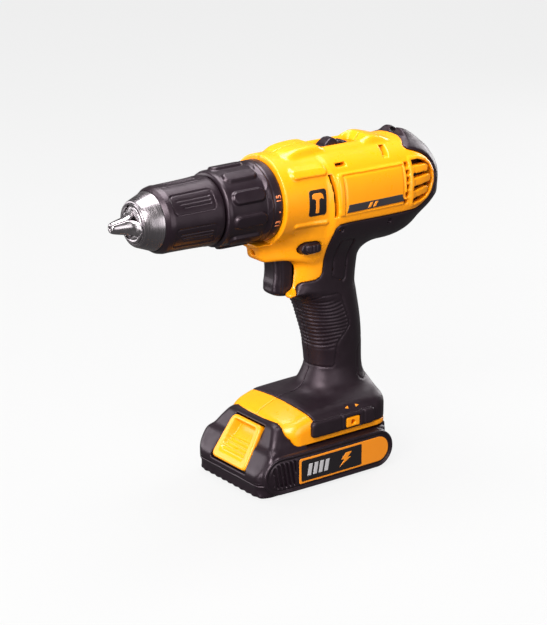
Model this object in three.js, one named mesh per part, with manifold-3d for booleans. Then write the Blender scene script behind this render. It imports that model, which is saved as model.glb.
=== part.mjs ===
// Compact cordless hammer drill-driver with slide-on battery pack.
// Millimetres, +Z up. X runs along the spindle, chuck towards -X. Z = 0 is the underside of the battery pack.
import * as THREE from "three";
import { mergeVertices } from "three/addons/utils/BufferGeometryUtils.js";
import Module from "manifold-3d";

const wasm = await Module();
wasm.setup();

// ---------------------------------------------------------------- driving dimensions
const X_SHIFT = 5.2; // moves the model so that the origin is under the middle of its box
const AXIS_Z = 182.0; // spindle height
const GAP = 0.3; // running and seating clearance between neighbouring pieces
const SKIN = 1.7; // thickness of the soft overmould
const SHELL = 2.4; // wall of the hard clamshell under the overmould

const COLLAR_FRONT = -57.0;
const COLLAR_REAR = -18.6;
const COLLAR_R = 25.4;
const SLEEVE_REAR = -58.2;
const SLEEVE_FRONT = -98.8;
const SLEEVE_R = 21.5;
const NOSE_FRONT = -110.6;
const JAW_TIP = -126.0;
const JAW_ANGLE = (17 * Math.PI) / 180;
const JAW_TRAVEL = 20.0;

const MODULE = 1.0; // gear module of the three planetary stages
const Z_SUN = 12, Z_PLANET = 9, Z_RING = 30;
const CENTRE_DISTANCE = (MODULE * (Z_SUN + Z_PLANET)) / 2;

const MOTOR_R = 19.0;
const MOTOR_FRONT = 25.0;
const MOTOR_REAR = 84.0;

const BATTERY_W = 77.0; // over the side pads
const CELL_R = 9.1, CELL_L = 65.0;

// ---------------------------------------------------------------- helpers
// A three.js geometry, moved by an optional matrix, as a manifold solid.
function solid(geometry, matrix) {
  const g = new THREE.BufferGeometry();
  const src = geometry.index ? geometry.toNonIndexed() : geometry.clone();
  g.setAttribute("position", src.getAttribute("position"));
  if (matrix) g.applyMatrix4(matrix);
  const m = mergeVertices(g, 1e-4);
  const build = (tri) =>
    new wasm.Manifold(new wasm.Mesh({ numProp: 3, vertProperties: m.attributes.position.array, triVerts: tri }));
  const tri = new Uint32Array(m.index.array);
  let s = build(tri);
  if (s.volume() < 0) {
    for (let i = 0; i < tri.length; i += 3) [tri[i + 1], tri[i + 2]] = [tri[i + 2], tri[i + 1]];
    s = build(tri);
  }
  return s;
}
const M = () => new THREE.Matrix4();
const at = (x, y, z) => M().makeTranslation(x, y, z);
const turn = (axis, a) => M().makeRotationAxis(new THREE.Vector3(...axis), a);
const join = (...s) => s.flat().reduce((a, b) => a.add(b));
const cut = (a, ...b) => b.flat().reduce((p, q) => p.subtract(q), a);

// Revolved about the spindle axis. Profile points are [x, radius]; a ring's profile closes on itself.
function revolve(profile, segments = 24, axisY = 0, axisZ = AXIS_Z) {
  const onAxis = profile[0][1] === 0 && profile[profile.length - 1][1] === 0;
  const pts = profile.map(([x, r]) => new THREE.Vector2(r, x));
  if (!onAxis) pts.push(pts[0].clone());
  const g = new THREE.LatheGeometry(pts, segments);
  // the lathe's own axis is +Y: turn it onto +X
  return solid(g, at(0, axisY, axisZ).multiply(turn([0, 0, 1], -Math.PI / 2)));
}
const tubeX = (x0, x1, rIn, rOut, seg = 20) =>
  rIn > 0
    ? revolve([[x0, rIn], [x1, rIn], [x1, rOut], [x0, rOut]], seg)
    : revolve([[x0, 0], [x0, rOut], [x1, rOut], [x1, 0]], seg);
function box(x0, x1, y0, y1, z0, z1) {
  const g = new THREE.BoxGeometry(x1 - x0, y1 - y0, z1 - z0);
  return solid(g, at((x0 + x1) / 2, (y0 + y1) / 2, (z0 + z1) / 2));
}
// A cylinder between two points.
function rod(a, b, r, seg = 16, r2 = r) {
  const A = new THREE.Vector3(...a), B = new THREE.Vector3(...b);
  const d = B.clone().sub(A);
  const g = new THREE.CylinderGeometry(r2, r, d.length(), seg);
  const q = new THREE.Quaternion().setFromUnitVectors(new THREE.Vector3(0, 1, 0), d.clone().normalize());
  return solid(g, M().compose(A.clone().add(B).multiplyScalar(0.5), q, new THREE.Vector3(1, 1, 1)));
}
// A body as plain three.js geometry, and the same body moved by a matrix.
function geometryOf(body) {
  const mesh = body.getMesh(), n = mesh.numProp, v = new Float32Array(mesh.numVert * 3);
  for (let i = 0; i < mesh.numVert; i++) v.set(mesh.vertProperties.subarray(i * n, i * n + 3), i * 3);
  const g = new THREE.BufferGeometry();
  g.setAttribute("position", new THREE.BufferAttribute(v, 3));
  g.setIndex(new THREE.BufferAttribute(mesh.triVerts, 1));
  return g;
}
const moved = (body, matrix) => solid(geometryOf(body), matrix);
// An outline in the XZ plane, extruded across Y.
function slab(outline, y0, y1) {
  const s = new THREE.Shape(outline.map(([x, z]) => new THREE.Vector2(x, z)));
  const g = new THREE.ExtrudeGeometry(s, { depth: y1 - y0, bevelEnabled: false, curveSegments: 8 });
  return solid(g, at(0, y1, 0).multiply(turn([1, 0, 0], Math.PI / 2)));
}
// An outline in the YZ plane, extruded along X, with an optional round hole.
function plateX(outline, x0, x1, hole = 0, cy = 0, cz = AXIS_Z, holeSeg = 10) {
  const s = new THREE.Shape(outline.map(([y, z]) => new THREE.Vector2(y, z)));
  const g = new THREE.ExtrudeGeometry(s, { depth: x1 - x0, bevelEnabled: false });
  // shape x -> Y, shape y -> Z, extrusion -> X
  const m = M().makeBasis(new THREE.Vector3(0, 1, 0), new THREE.Vector3(0, 0, 1), new THREE.Vector3(1, 0, 0));
  const body = solid(g, at(x0, cy, cz).multiply(m));
  return hole ? body.subtract(rod([x0 - 1, cy, cz], [x1 + 1, cy, cz], hole, holeSeg)) : body;
}
// A closed skin through equal-length loops of points, capped at both ends.
function loft(loops) {
  const n = loops[0].length, pos = [];
  const tri = (a, b, c) => pos.push(...a, ...b, ...c);
  for (let k = 0; k + 1 < loops.length; k++)
    for (let i = 0; i < n; i++) {
      const j = (i + 1) % n;
      tri(loops[k][i], loops[k][j], loops[k + 1][j]);
      tri(loops[k][i], loops[k + 1][j], loops[k + 1][i]);
    }
  const cap = (l, flip) => {
    const c = [0, 1, 2].map((d) => l.reduce((s, p) => s + p[d], 0) / n);
    for (let i = 0; i < n; i++) {
      const j = (i + 1) % n;
      flip ? tri(c, l[j], l[i]) : tri(c, l[i], l[j]);
    }
  };
  cap(loops[0], true);
  cap(loops[loops.length - 1], false);
  const g = new THREE.BufferGeometry();
  g.setAttribute("position", new THREE.Float32BufferAttribute(pos, 3));
  return solid(g);
}
const sgnpow = (v, p) => Math.sign(v) * Math.pow(Math.abs(v), p);
// Section in YZ at x: half width w, from zb to zt, middle at zm, squareness n.
const secX = (x, w, zb, zt, n, inset = 0, zm = (zb + zt) / 2, seg = 16) =>
  Array.from({ length: seg }, (_, i) => {
    const a = (2 * Math.PI * (i + 0.5)) / seg;
    const up = Math.sin(a) > 0 ? zt - zm : zm - zb;
    return [x, Math.max(w - inset, 0.4) * sgnpow(Math.cos(a), 2 / n), zm + Math.max(up - inset, 0.4) * sgnpow(Math.sin(a), 2 / n)];
  });
// Section in XY at z: from x0 to x1, half width b, squareness n.
const secZ = (z, x0, x1, b, n, inset = 0, seg = 12) =>
  Array.from({ length: seg }, (_, i) => {
    const a = (2 * Math.PI * (i + 0.5)) / seg;
    return [(x0 + x1) / 2 + Math.max((x1 - x0) / 2 - inset, 0.4) * sgnpow(Math.cos(a), 2 / n), Math.max(b - inset, 0.4) * sgnpow(Math.sin(a), 2 / n), z];
  });

// Straight-flanked involute gear outline (centred, first tooth on +Z of its own frame), four points a tooth.
function gearOutline(z, phase, { addendum = 0.78, dedendum = 1.05, thin = 0.07, internal = false } = {}) {
  const alpha = (25 * Math.PI) / 180, rp = (MODULE * z) / 2, rb = rp * Math.cos(alpha);
  const inv = (a) => Math.tan(a) - a;
  const half = (r) => {
    const a = Math.acos(Math.min(1, rb / r));
    const base = Math.PI / (2 * z) + inv(alpha) - inv(a);
    return base + (internal ? thin : -thin) / rp;
  };
  const rt = rp + addendum * MODULE, rr = rp - dedendum * MODULE;
  const pts = [];
  for (let k = 0; k < z; k++) {
    const c = phase + (2 * Math.PI * k) / z;
    const hr = Math.min(half(Math.max(rr, rb + 1e-6)), (Math.PI / z) * 0.93), ht = Math.max(half(rt), 0.02);
    for (const [r, a] of [[rr, -hr], [rt, -ht], [rt, ht], [rr, hr]])
      pts.push([r * Math.sin(c + a), r * Math.cos(c + a)]);
  }
  return pts;
}
const sunOutline = gearOutline(Z_SUN, 0);
const ringCutter = gearOutline(Z_RING, 0, { addendum: 1.1, dedendum: 0.74, thin: 0.12, internal: true });

// ---------------------------------------------------------------- scene graph
const material = (color, roughness, metalness = 0) => new THREE.MeshStandardMaterial({ color, roughness, metalness });
const YELLOW = material(0xf5a800, 0.45), BLACK = material(0x1c181b, 0.6), RUBBER = material(0x231d20, 0.75);
const STEEL = material(0x9c979c, 0.3, 1), DARKSTEEL = material(0x55565a, 0.4, 1), GREASED = material(0x7c7a72, 0.35, 1);
const COPPER = material(0xb36a36, 0.4, 1), GREEN = material(0x1e5b38, 0.6), CELL = material(0x2f7f9e, 0.4), CLEAR = material(0xe9e6da, 0.2);

const drill = new THREE.Group();
drill.position.x = X_SHIFT;
function part(name, body, mat, parent = drill) {
  const o = new THREE.Mesh(geometryOf(body), mat);
  o.name = name;
  parent.add(o);
  return o;
}

// ---------------------------------------------------------------- clamshell housing
// Upper body: round gear case front, wider motor barrel, domed rear.
const upper = (inset) =>
  join(
    loft([
      secX(-18.2 + (inset > 4 ? 2.4 : 0), 28.3, AXIS_Z - 28.3, AXIS_Z + 28.3, 2, inset),
      secX(14.5, 29.2, 151, 209.6, 2.3, inset),
      secX(17.5, 31.2, 146, 209.6, 2.5, inset),
      secX(80, 31.4, 144.2, 209.2, 2.6, inset),
      secX(94, 28.6, 146.0, 206.4, 2.5, inset),
      secX(107, 20.6, 154.8, 199.0, 2.3, inset),
      secX(115.6 - inset, 8.0, 168.0, 187.0, 2.1, inset / 2),
    ]),
  );
// Chin that carries the work light under the collar.
const chin = (inset) =>
  loft([
    secX(-23.2 + inset, 6.2, 146.0, 152.6, 2.8, inset / 2, 149, 16),
    secX(-21.6 + inset / 2, 8.4, 144.2, 154.6, 2.8, inset, 149, 16),
    secX(-16.6, 10.6, 143.6, 156.6, 2.6, inset, 149, 16),
    secX(6, 15.0, 143.2, 166, 2.6, inset, 152, 16),
  ]);
// Neck and handle.
const grip = (inset) =>
  loft([
    secZ(49 - inset, 17.0, 61.0, 19.0, 2.4, inset),
    secZ(66, 21.0, 59.6, 15.8, 2.3, inset),
    secZ(82, 19.4, 58.8, 16.6, 2.3, inset),
    secZ(100, 14.2, 56.6, 17.6, 2.3, inset),
    secZ(114, 9.6, 53.2, 17.4, 2.4, inset),
    secZ(118.4, 2.6, 52.2, 17.3, 2.6, inset),
    secZ(121, -5.4, 51.8, 17.2, 3.0, inset),
    secZ(125, -0.4, 52.2, 17.4, 2.8, inset),
    secZ(138, 0.4, 53.4, 18.2, 2.8, inset),
    secZ(158 + inset, -12.0, 66.0, 23.0, 2.8, inset),
  ]);
// Foot that the pack slides onto.
const foot = (inset) =>
  loft([
    secZ(28.2, -14.6, 62.2, 33.0, 4.2, inset, 16),
    secZ(36, -21.0, 63.0, 33.4, 4.2, inset, 16),
    secZ(42.5, -22.0, 62.9, 32.4, 3.9, inset, 16),
    secZ(50.2 - inset * 0.6, -8.0, 62.0, 26.8, 3.2, inset, 16),
    secZ(58, 17.0, 60.6, 18.0, 2.5, inset, 16),
  ]);
const whole = (inset) => join(upper(inset), chin(inset), grip(inset), foot(inset));

// Top island with the slot for the speed selector.
const island = loft([
  secZ(203, -6.4, 80.0, 13.4, 3.4),
  secZ(209.6, -3.8, 78.0, 12.2, 3.4),
  secZ(212.0, 4.0, 73.0, 10.6, 3.0),
  secZ(213.0, 12.0, 67.0, 8.6, 2.8),
]);
const selectorSlot = loft([
  secZ(203.6, 25.0, 52.6, 5.8, 6, 0, 12), secZ(208.6, 24.8, 52.8, 6.0, 6, 0, 12), secZ(216, 20.6, 57.0, 10.4, 6, 0, 12),
]);

// Side-view region that stays hard yellow plastic; everything else of the handle, belly and tail is overmoulded.
const yellowSide = (g) => slab([
  [-60, 230], [77.4 - g, 230], [77.0 - g, 205], [80 - g, 202.6 - g * 0.6], [86 - g * 0.5, 201.6 - g], [92 - g * 0.7, 199.5 - g * 0.7], [97.6 - g, 196 - g * 0.6], [101.4 - g, 191],
  [103.0 - g, 185], [102.6 - g, 179.4], [99.8 - g, 174.6 + g * 0.6], [95 - g * 0.7, 171 + g * 0.7], [88.6, 167.4 + g], [80, 165.4 + g], [20.4 - g * 0.4, 165.4 + g], [19 - g, 163.6], [18.6 - g, 132.6], [17.4 - g, 129.4 + g * 0.5], [14.6 - g, 128 + g],
  [5, 127.2 + g], [1.6 - g, 124.4], [-0.4 - g, 119.6 + g], [-60, 119.6 + g],
], -60, 60);
const yellowFoot = (g) => slab([
  [-60, 60], [-5.4 - g, 60], [-4.2 - g, 50], [0.4 - g, 41], [1.8 - g, 34.6], [3.6 - g, 31.8 - g], [90, 31.8 - g], [90, 20], [-60, 20],
], -60, 60);
const yellowZone = (g) => join(yellowSide(g), yellowFoot(g));

const O0 = whole(0);
const O1 = whole(SKIN);
const O2 = whole(SKIN + GAP);
// Hollow inside the clamshell: barrel, chin, neck and grip, and foot.
const W = SKIN + SHELL;
const cavity = join(
  loft([
    secX(-15.8, 24.0, AXIS_Z - 24.0, AXIS_Z + 23.6, 2, 0, undefined, 12),
    secX(18.0, 26.8, 150.4, 205.2, 2.4, 0, undefined, 12),
    secX(80, 27.0, 148.8, 204.8, 2.5, 0, undefined, 12),
    secX(96, 22.6, 153.0, 199.6, 2.3, 0, undefined, 12),
    secX(108.6, 9.0, 168.0, 187.0, 2.1, 0, undefined, 12),
  ]),
  loft([secX(-19.4, 4.6, 147.0, 151.4, 2.4, 0, 149, 8), secX(6, 10.6, 146.8, 162, 2.6, 0, 152, 8)]),
  loft([
    secZ(50, 21.6, 56.6, 14.2, 2.4, 0, 12), secZ(68, 25.4, 55.2, 11.7, 2.3, 0, 12), secZ(100, 18.6, 52.4, 13.4, 2.3, 0, 12),
    secZ(121, 4.2, 47.6, 13.1, 2.7, 0, 12), secZ(138, 4.6, 49.2, 14.0, 2.8, 0, 12), secZ(156, -6.0, 60.0, 18.6, 2.8, 0, 12),
  ]),
  loft([secZ(33.0, -14.6, 58.6, 29.0, 4.2, 0, 12), secZ(43, -17.4, 58.6, 27.8, 3.9, 0, 12), secZ(50.4, 3.0, 57.2, 19.6, 3.0, 0, 12)]),
);

const noseBore = tubeX(-60, -14, 0, 20.9);
const caseBore = tubeX(-16.6, 23, 0, 21.2);
let shellSolid = join(O2, O0.intersect(yellowZone(GAP)), island);
// ribs that locate the gear case and the motor
const ribs = [[-12, -9.6, 21.2], [13.6, 16, 21.2], [30, 32.4, MOTOR_R + GAP], [76, 78.4, MOTOR_R + GAP]].map(([a, b, r]) =>
  cut(tubeX(a, b, r, 40).intersect(upper(SKIN + 0.8)).intersect(box(a - 1, b + 1, -40, 40, 160, 230)), box(a - 1, b + 1, -4, 4, 202, 206)));
shellSolid = cut(shellSolid, cavity, noseBore, caseBore);
shellSolid = join(shellSolid, ribs);
// openings: speed selector slot, direction button, trigger window, pack bay, light, vents
const triggerWindow = box(-9, 9, -9.2, 9.2, 118.3, 143.4);
const directionHole = slab([[-5.4, 148.6], [-3.0, 146.4], [11.6, 146.4], [14.0, 148.6], [14.0, 153.4], [11.6, 155.6], [-3.0, 155.6], [-5.4, 153.4]], -40, 40);
const bayCut = join(box(-30, 59.6, -30.2, 30.2, 29.3, 33.4), box(-30, 59.6, -24.4, 24.4, 26, 29.4), box(-30, -8, -24, 24, 26, 38));
const lightHole = rod([-30, 0, 149.4], [-17.6, 0, 149.0], 2.4, 14);
const vents = [];
for (const [z, x1] of [[172.6, 90.0], [178.2, 94.6], [183.8, 96.6], [189.4, 95.6], [194.8, 91.0]])
  vents.push(box(79.8, x1, -40, 40, z - 1.45, z + 1.45));
for (const z of [171.8, 177.2, 182.6, 188.0, 193.4]) vents.push(box(72.6, 76.0, -40, 40, z - 1.9, z + 1.9));
// rails that hold the pack are what the bay leaves standing; screw bosses run from the left half and are tapped by the screws from the right
const screwAt = [[66, 206.2, 14.6], [92, 157.4, 20.5], [44.2, 131, 11.0], [36, 66.0, 12.2], [52, 42.0, 25.6]];
const bosses = screwAt.map(([x, z]) => rod([x, -30, z], [x, 30, z], 3.2, 8).intersect(O2));
const bossHoles = screwAt.map(([x, z]) => rod([x, -10, z], [x, 45, z], 1.8, 8));
const headHoles = screwAt.map(([x, z, y]) => rod([x, y, z], [x, 50, z], 3.5, 8));
shellSolid = join(shellSolid, bosses);
shellSolid = cut(shellSolid, caseBore, tubeX(23, 84.4, 0, MOTOR_R + GAP), selectorSlot, triggerWindow, directionHole, bayCut, lightHole, vents, bossHoles, headHoles);
// belt hook seats: a block that fills the window of each side pad, with a threaded hole
const hookSeats = [-1, 1].map((s) => cut(box(24.2, 34.8, s > 0 ? 30.4 : -35.6, s > 0 ? 35.6 : -30.4, 31.8, 39.9), rod([29.5, s * 29.5, 36.0], [29.5, s * 36.6, 36.0], 1.6, 10)));
shellSolid = join(shellSolid, hookSeats);
const HALF = (s, g) => box(-150, 150, s > 0 ? g : -150, s > 0 ? 150 : -g, -10, 260);
const biggest = (m) => m.decompose().sort((a, b) => b.volume() - a.volume())[0];
part("housing_left", biggest(shellSolid.intersect(HALF(-1, 0.15))), YELLOW);
part("housing_right", biggest(shellSolid.intersect(HALF(1, 0.15))), YELLOW);

// Soft overmould on the handle, belly, tail and foot, with the side pads that the belt hook bolts to.
let skin = cut(O0, O1, yellowZone(0), triggerWindow, box(-60, 22, -60, 60, 112, 260).subtract(box(-60, 22, -60, 60, 100, 129)).subtract(box(16, 22, -60, 60, 129, 170)), bayCut, headHoles);
const padShape = (x0, x1, z0, z1, c) => [[x0 + c, z0], [x1 - c, z0], [x1, z0 + c], [x1, z1 - c], [x1 - c, z1], [x0 + c, z1], [x0, z1 - c], [x0, z0 + c]];
const pads = [-1, 1].map((s) => cut(slab(padShape(0.4, 47.6, 31.9, 42.0, 2.6), s > 0 ? 31.4 : -36.0, s > 0 ? 36.0 : -31.4), box(23.9, 35.1, -50, 50, 31.0, 40.2)));
const padRoom = [-1, 1].map((s) => slab(padShape(0.1, 47.9, 31.6, 42.3, 2.6), s > 0 ? 31.1 : -40, s > 0 ? 40 : -31.1));
skin = cut(skin, box(23.9, 35.1, -50, 50, 31.0, 40.2));
skin = join(skin, pads.map((p) => cut(p, O2)));
part("grip_overmould_left", biggest(cut(skin, shellSolid).intersect(HALF(-1, 0.15))), RUBBER);
part("grip_overmould_right", biggest(cut(skin, shellSolid).intersect(HALF(1, 0.15))), RUBBER);

screwAt.forEach(([x, z, y], i) => {
  const y0 = y + GAP;
  const s = cut(join(rod([x, y0, z], [x, y0 + 2.4, z], 3.0, 10), rod([x, -9, z], [x, y0 + 0.5, z], 1.5, 6)), rod([x, y0 + 1.1, z], [x, y0 + 3, z], 1.3, 6));
  part("housing_screw_" + (i + 1), s, DARKSTEEL);
});
part("work_light_lens", rod([-22.6, 0, 149.2], [-18.2, 0, 149.05], 2.1, 14), CLEAR);

// ---------------------------------------------------------------- controls
const speedShift = new THREE.Group();
drill.add(speedShift);
const selector = join(
  loft([secZ(204.9, 27.4, 45.4, 4.9, 5, 0, 12), secZ(208.6, 27.4, 45.4, 5.2, 5, 0, 12)]),
  loft([secZ(208.4, 29.6, 42.4, 5.2, 3, 0, 12), secZ(212.0, 31.2, 40.8, 4.6, 2.6, 0, 12), secZ(213.3, 33.2, 38.8, 3.6, 2.2, 0, 12)]),
);
part("speed_selector", selector, BLACK, speedShift);
// Wire fork: a strip under the selector, a half ring over the gear case, two pins through its slots.
part("shift_fork", join(
  box(3.6, 36.0, -3.0, 3.0, 203.3, 204.1),
  tubeX(3.6, 5.6, 21.0, 22.2, 24).intersect(box(3, 6, -30, 30, AXIS_Z - 1.2, 230)),
  [-1, 1].map((k) => rod([4.6, k * 17.9, AXIS_Z], [4.6, k * 21.8, AXIS_Z], 1.0, 8)),
), STEEL, speedShift);
part("direction_button", join(
  slab([[-4.6, 149.0], [-2.6, 147.2], [11.2, 147.2], [13.2, 149.0], [13.2, 153.0], [11.2, 154.8], [-2.6, 154.8], [-4.6, 153.0]], -21.6, 21.6),
), BLACK);
const triggerSolid = join(
  slab([[-11.4, 143.0], [1.0, 143.0], [1.0, 118.8], [-7.2, 118.8], [-10.0, 119.8], [-12.0, 123.0], [-11.0, 130.4], [-11.0, 137.0]], -8.5, 8.5),
  box(0.9, 5.4, -4.0, 4.0, 124, 138),
);
part("trigger", triggerSolid, BLACK);
part("switch_module", join(box(15.6, 39.0, -8.2, 8.2, 115, 139.6), box(20, 36, -6, 6, 106, 115.2), box(15.6, 22, -3, 3, 139.2, 142.6)), BLACK);

// ---------------------------------------------------------------- gearbox and clutch
const gearCase = revolve([
  [22.6, 17.9], [22.6, 20.6], [-16.2, 20.6], [-16.2, 17.0], [-20.4, 17.0], [-20.4, 12.6], [-50.6, 12.6], [-50.6, 9.4], [-43.0, 9.4], [-43.0, 7.4], [-19.0, 7.4], [-16.4, 10.0], [-16.4, 17.9],
], 20);
part("gearbox_case", cut(gearCase, box(3.2, 11.0, -25, 25, AXIS_Z - 1.5, AXIS_Z + 1.5)), DARKSTEEL);
part("spindle_bearing", tubeX(-50.2, -43.4, 5.5, 9.1, 24), STEEL);

const ringGear = (x0, x1) => cut(tubeX(x0, x1, 0, 17.5, 15), plateX(ringCutter, x0 - 1, x1 + 1));
part("ring_gear_1", ringGear(13.6, 20.6), GREASED);
part("ring_gear_2", ringGear(1.4, 8.2), GREASED, speedShift);
part("ring_gear_3", ringGear(-12.2, -4.2), GREASED);
const planetAngles = [0, 1, 2].map((k) => (2 * Math.PI * k) / 3);
const planetPos = planetAngles.map((a) => [CENTRE_DISTANCE * Math.sin(a), AXIS_Z + CENTRE_DISTANCE * Math.cos(a)]);
[[13.4, 19.4, 1], [2.4, 7.6, 2], [-11.0, -5.2, 3]].forEach(([x0, x1, stage]) =>
  planetPos.forEach(([y, z], k) => {
    const gear = plateX(gearOutline(Z_PLANET, planetAngles[k]), x0, x1, 2.0, y, z, 6);
    part("planet_" + stage + "abc"[k], gear, GREASED);
  }));
const pins = (x0, x1) => planetPos.map(([y, z]) => rod([x0, y, z], [x1, y, z], 1.6, 8));
part("carrier_1", join(tubeX(9.0, 12.0, 0, 13.6, 24), pins(11.8, 19.2), plateX(sunOutline, 1.2, 9.2)), GREASED);
part("carrier_2", join(tubeX(-3.4, 0.8, 0, 13.6, 24), pins(0.6, 7.4), plateX(sunOutline, -11.4, -3.2)), GREASED);
part("output_spindle", join(
  tubeX(-15.6, -12.6, 0, 13.6, 24), pins(-12.8, -5.6),
  tubeX(-74.0, -15.4, 0, 5.1, 16),
  tubeX(-42.4, -15.4, 0, 6.6, 16),
), STEEL);
// Clutch: spring around the nose tube, pressed by a nut that the collar screws along.
{
  class Coil extends THREE.Curve {
    getPoint(t) {
      const a = 2 * Math.PI * 3.2 * t;
      return new THREE.Vector3(-22.4 - 10.2 * t, 15.0 * Math.sin(a), AXIS_Z + 15.0 * Math.cos(a));
    }
  }
  const section = new THREE.Shape(Array.from({ length: 5 }, (_, i) => new THREE.Vector2(1.25 * Math.cos(i * Math.PI * 0.4), 1.25 * Math.sin(i * Math.PI * 0.4))));
  part("clutch_spring", solid(new THREE.ExtrudeGeometry(section, { steps: 30, extrudePath: new Coil(), bevelEnabled: false })), STEEL);
}
part("clutch_nut", tubeX(-38.4, -34.6, 13.0, 18.8, 28), DARKSTEEL);

// Torque collar: grip with ten raised pads and a numbered flange.
{
  let c = revolve([
    [-57.0, 15.4], [-57.0, 22.4], [-54.6, 23.8], [-27.6, 24.2], [-24.6, 25.4], [COLLAR_REAR, COLLAR_R],
    [COLLAR_REAR, 21.6], [-21.0, 19.8], [-50.0, 19.8], [-53.4, 15.4],
  ], 20);
  for (let k = 0; k < 10; k++) {
    const a = (2 * Math.PI * (k + 0.22)) / 10;
    const pad = loft([secZ(22.5, -51.6, -29.4, 3.5, 3, 0, 6), secZ(25.3, -50.2, -30.8, 2.2, 3, 0, 6)]);
    c = c.add(moved(pad, at(0, 0, AXIS_Z).multiply(turn([1, 0, 0], a))));
  }
  part("torque_collar", c, BLACK);
}
// ---------------------------------------------------------------- keyless chuck
// Each jaw is a round bar on a line inclined to the spindle, cut to a 120 degree nose.
const jawLine = (a, t) => {
  const r = 2.3 + t * Math.sin(JAW_ANGLE);
  return [JAW_TIP + t * Math.cos(JAW_ANGLE), r * Math.sin(a), AXIS_Z + r * Math.cos(a)];
};
const JAW_R = 3.6, JAW_L = 31;
const jawAngles = [0.35, 0.35 + (2 * Math.PI) / 3, 0.35 + (4 * Math.PI) / 3];
const jawDirs = jawAngles.map((a) => [Math.cos(JAW_ANGLE), Math.sin(JAW_ANGLE) * Math.sin(a), Math.sin(JAW_ANGLE) * Math.cos(a)]);
const jawBores = jawAngles.map((a) => rod(jawLine(a, -8), jawLine(a, 62), JAW_R + 0.3, 10));
jawAngles.forEach((a, k) => {
  let j = rod(jawLine(a, -6), jawLine(a, JAW_L), JAW_R, 10);
  // keep the 120 degree sector that belongs to this jaw, with its gripping edges just off the axis
  const w = 60;
  const sector = moved(
    solid(new THREE.ExtrudeGeometry(new THREE.Shape([
      new THREE.Vector2(0, 0.22), new THREE.Vector2(w * Math.sin(Math.PI / 3), 0.22 + w * Math.cos(Math.PI / 3)),
      new THREE.Vector2(0, w * 1.2), new THREE.Vector2(-w * Math.sin(Math.PI / 3), 0.22 + w * Math.cos(Math.PI / 3)),
    ]), { depth: 90, bevelEnabled: false }), M().makeBasis(new THREE.Vector3(0, 1, 0), new THREE.Vector3(0, 0, 1), new THREE.Vector3(1, 0, 0))),
    at(JAW_TIP, 0, AXIS_Z).multiply(turn([1, 0, 0], -a)),
  );
  // blunt cone at the tip, and the back corner that clears the sleeve when the chuck is open
  const tip = revolve([[JAW_TIP, 0], [JAW_TIP, 3.3], [JAW_TIP + 1.0, 4.0], [JAW_TIP + 16, 6.9], [JAW_TIP + 60, 30], [JAW_TIP + 61, 0]], 24);
  const open = jawDirs[k].map((d) => d * JAW_TRAVEL);
  const clear = moved(tubeX(JAW_TIP + 10, -60, 0, 18.9, 20), at(-open[0], -open[1], -open[2]));
  const front = tubeX(JAW_TIP - 1, JAW_TIP + 30, 0, 30, 16);
  j = j.intersect(sector).intersect(tip).intersect(join(clear, front));
  part("jaw_" + (k + 1), j, STEEL);
});
part("chuck_body", biggest(cut(
  revolve([
    [-112.0, 0], [-112.0, 8.6], [-111.4, 9.6], [-104, 9.8], [-100.6, 12.4], [-94, 15.0], [-78, 15.0], [-78, 13.4], [-61.4, 13.4], [-61.4, 19.4], [-58.6, 19.4], [-58.6, 11.6], [-56.2, 11.6], [-54.6, 9.0], [-54.6, 0],
  ], 18),
  jawBores,
  tubeX(-75, -50, 0, 5.4, 16),
  tubeX(-81, -74.5, 0, 4.0, 16),
  tubeX(-120, -80.5, 0, 6.6, 24),
)), STEEL);
part("chuck_screw", join(tubeX(-83.0, -80.8, 0, 5.6, 12), tubeX(-81, -74.4, 0, 2.6, 10)), DARKSTEEL);
part("chuck_nut", revolve([[-93.2, 16.5], [-86.4, 18.6], [-86.4, 19.5], [-93.2, 19.5]], 24), STEEL);
part("nose_ring", revolve([
  [NOSE_FRONT, 11.2], [NOSE_FRONT, 13.4], [NOSE_FRONT + 0.7, 14.1], [-99.3, 17.9], [-97.4, 17.9], [-97.4, 16.0], [-105.6, 12.8],
], 28), STEEL);
part("chuck_sleeve", revolve([
  [-98.9, 18.2], [-96.0, 20.1], [-93.6, 20.6], [-76, 21.0], [-59.6, 21.6], [-58.2, 20.9], [-58.2, 19.8], [-94.2, 19.8], [-96.9, 18.2],
], 28), BLACK);

// ---------------------------------------------------------------- motor
part("motor_can", cut(
  revolve([[MOTOR_FRONT, 4.2], [MOTOR_FRONT, MOTOR_R], [MOTOR_REAR, MOTOR_R], [MOTOR_REAR, 17.4], [70, 17.4], [70, 14.0], [33, 14.0], [33, 17.4], [27, 17.4], [27, 4.2]], 18),
), DARKSTEEL);
part("armature", cut(revolve([[31, 0], [31, 9.6], [36, 9.6], [36, 13.4], [66, 13.4], [66, 9.6], [69.6, 9.6], [69.6, 4.6], [84.4, 4.6], [84.4, 6.4], [91.8, 6.4], [91.8, 0]], 20), tubeX(20, 110, 0, 2.9, 12)), COPPER);
part("motor_shaft", tubeX(14.0, 103.0, 0, 2.55, 12), STEEL);
part("motor_pinion", cut(plateX(sunOutline, 12.8, 20.4), tubeX(10, 30, 0, 2.9, 12)), GREASED);
{
  let f = join(tubeX(72.2, 73.6, 0, 15.4, 16), tubeX(72.2, 79.4, 0, 6.2, 10));
  for (let k = 0; k < 7; k++) f = f.add(moved(box(73.4, 79.0, -0.7, 0.7, 5.8, 15.4), at(0, 0, AXIS_Z).multiply(turn([1, 0, 0], (2 * Math.PI * k) / 7))));
  part("cooling_fan", cut(f, tubeX(60, 90, 0, 4.9, 10)), BLACK);
}
part("brush_holder", join(
  cut(tubeX(84.5, 94.2, 0, 17.4, 20), tubeX(80, 92.4, 0, 14.6, 20), tubeX(90, 100, 0, 3.2, 10)),
  cut(box(86.4, 92.6, -15, 15, AXIS_Z - 3, AXIS_Z + 3), tubeX(80, 100, 0, 6.9, 20)),
), BLACK);

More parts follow.
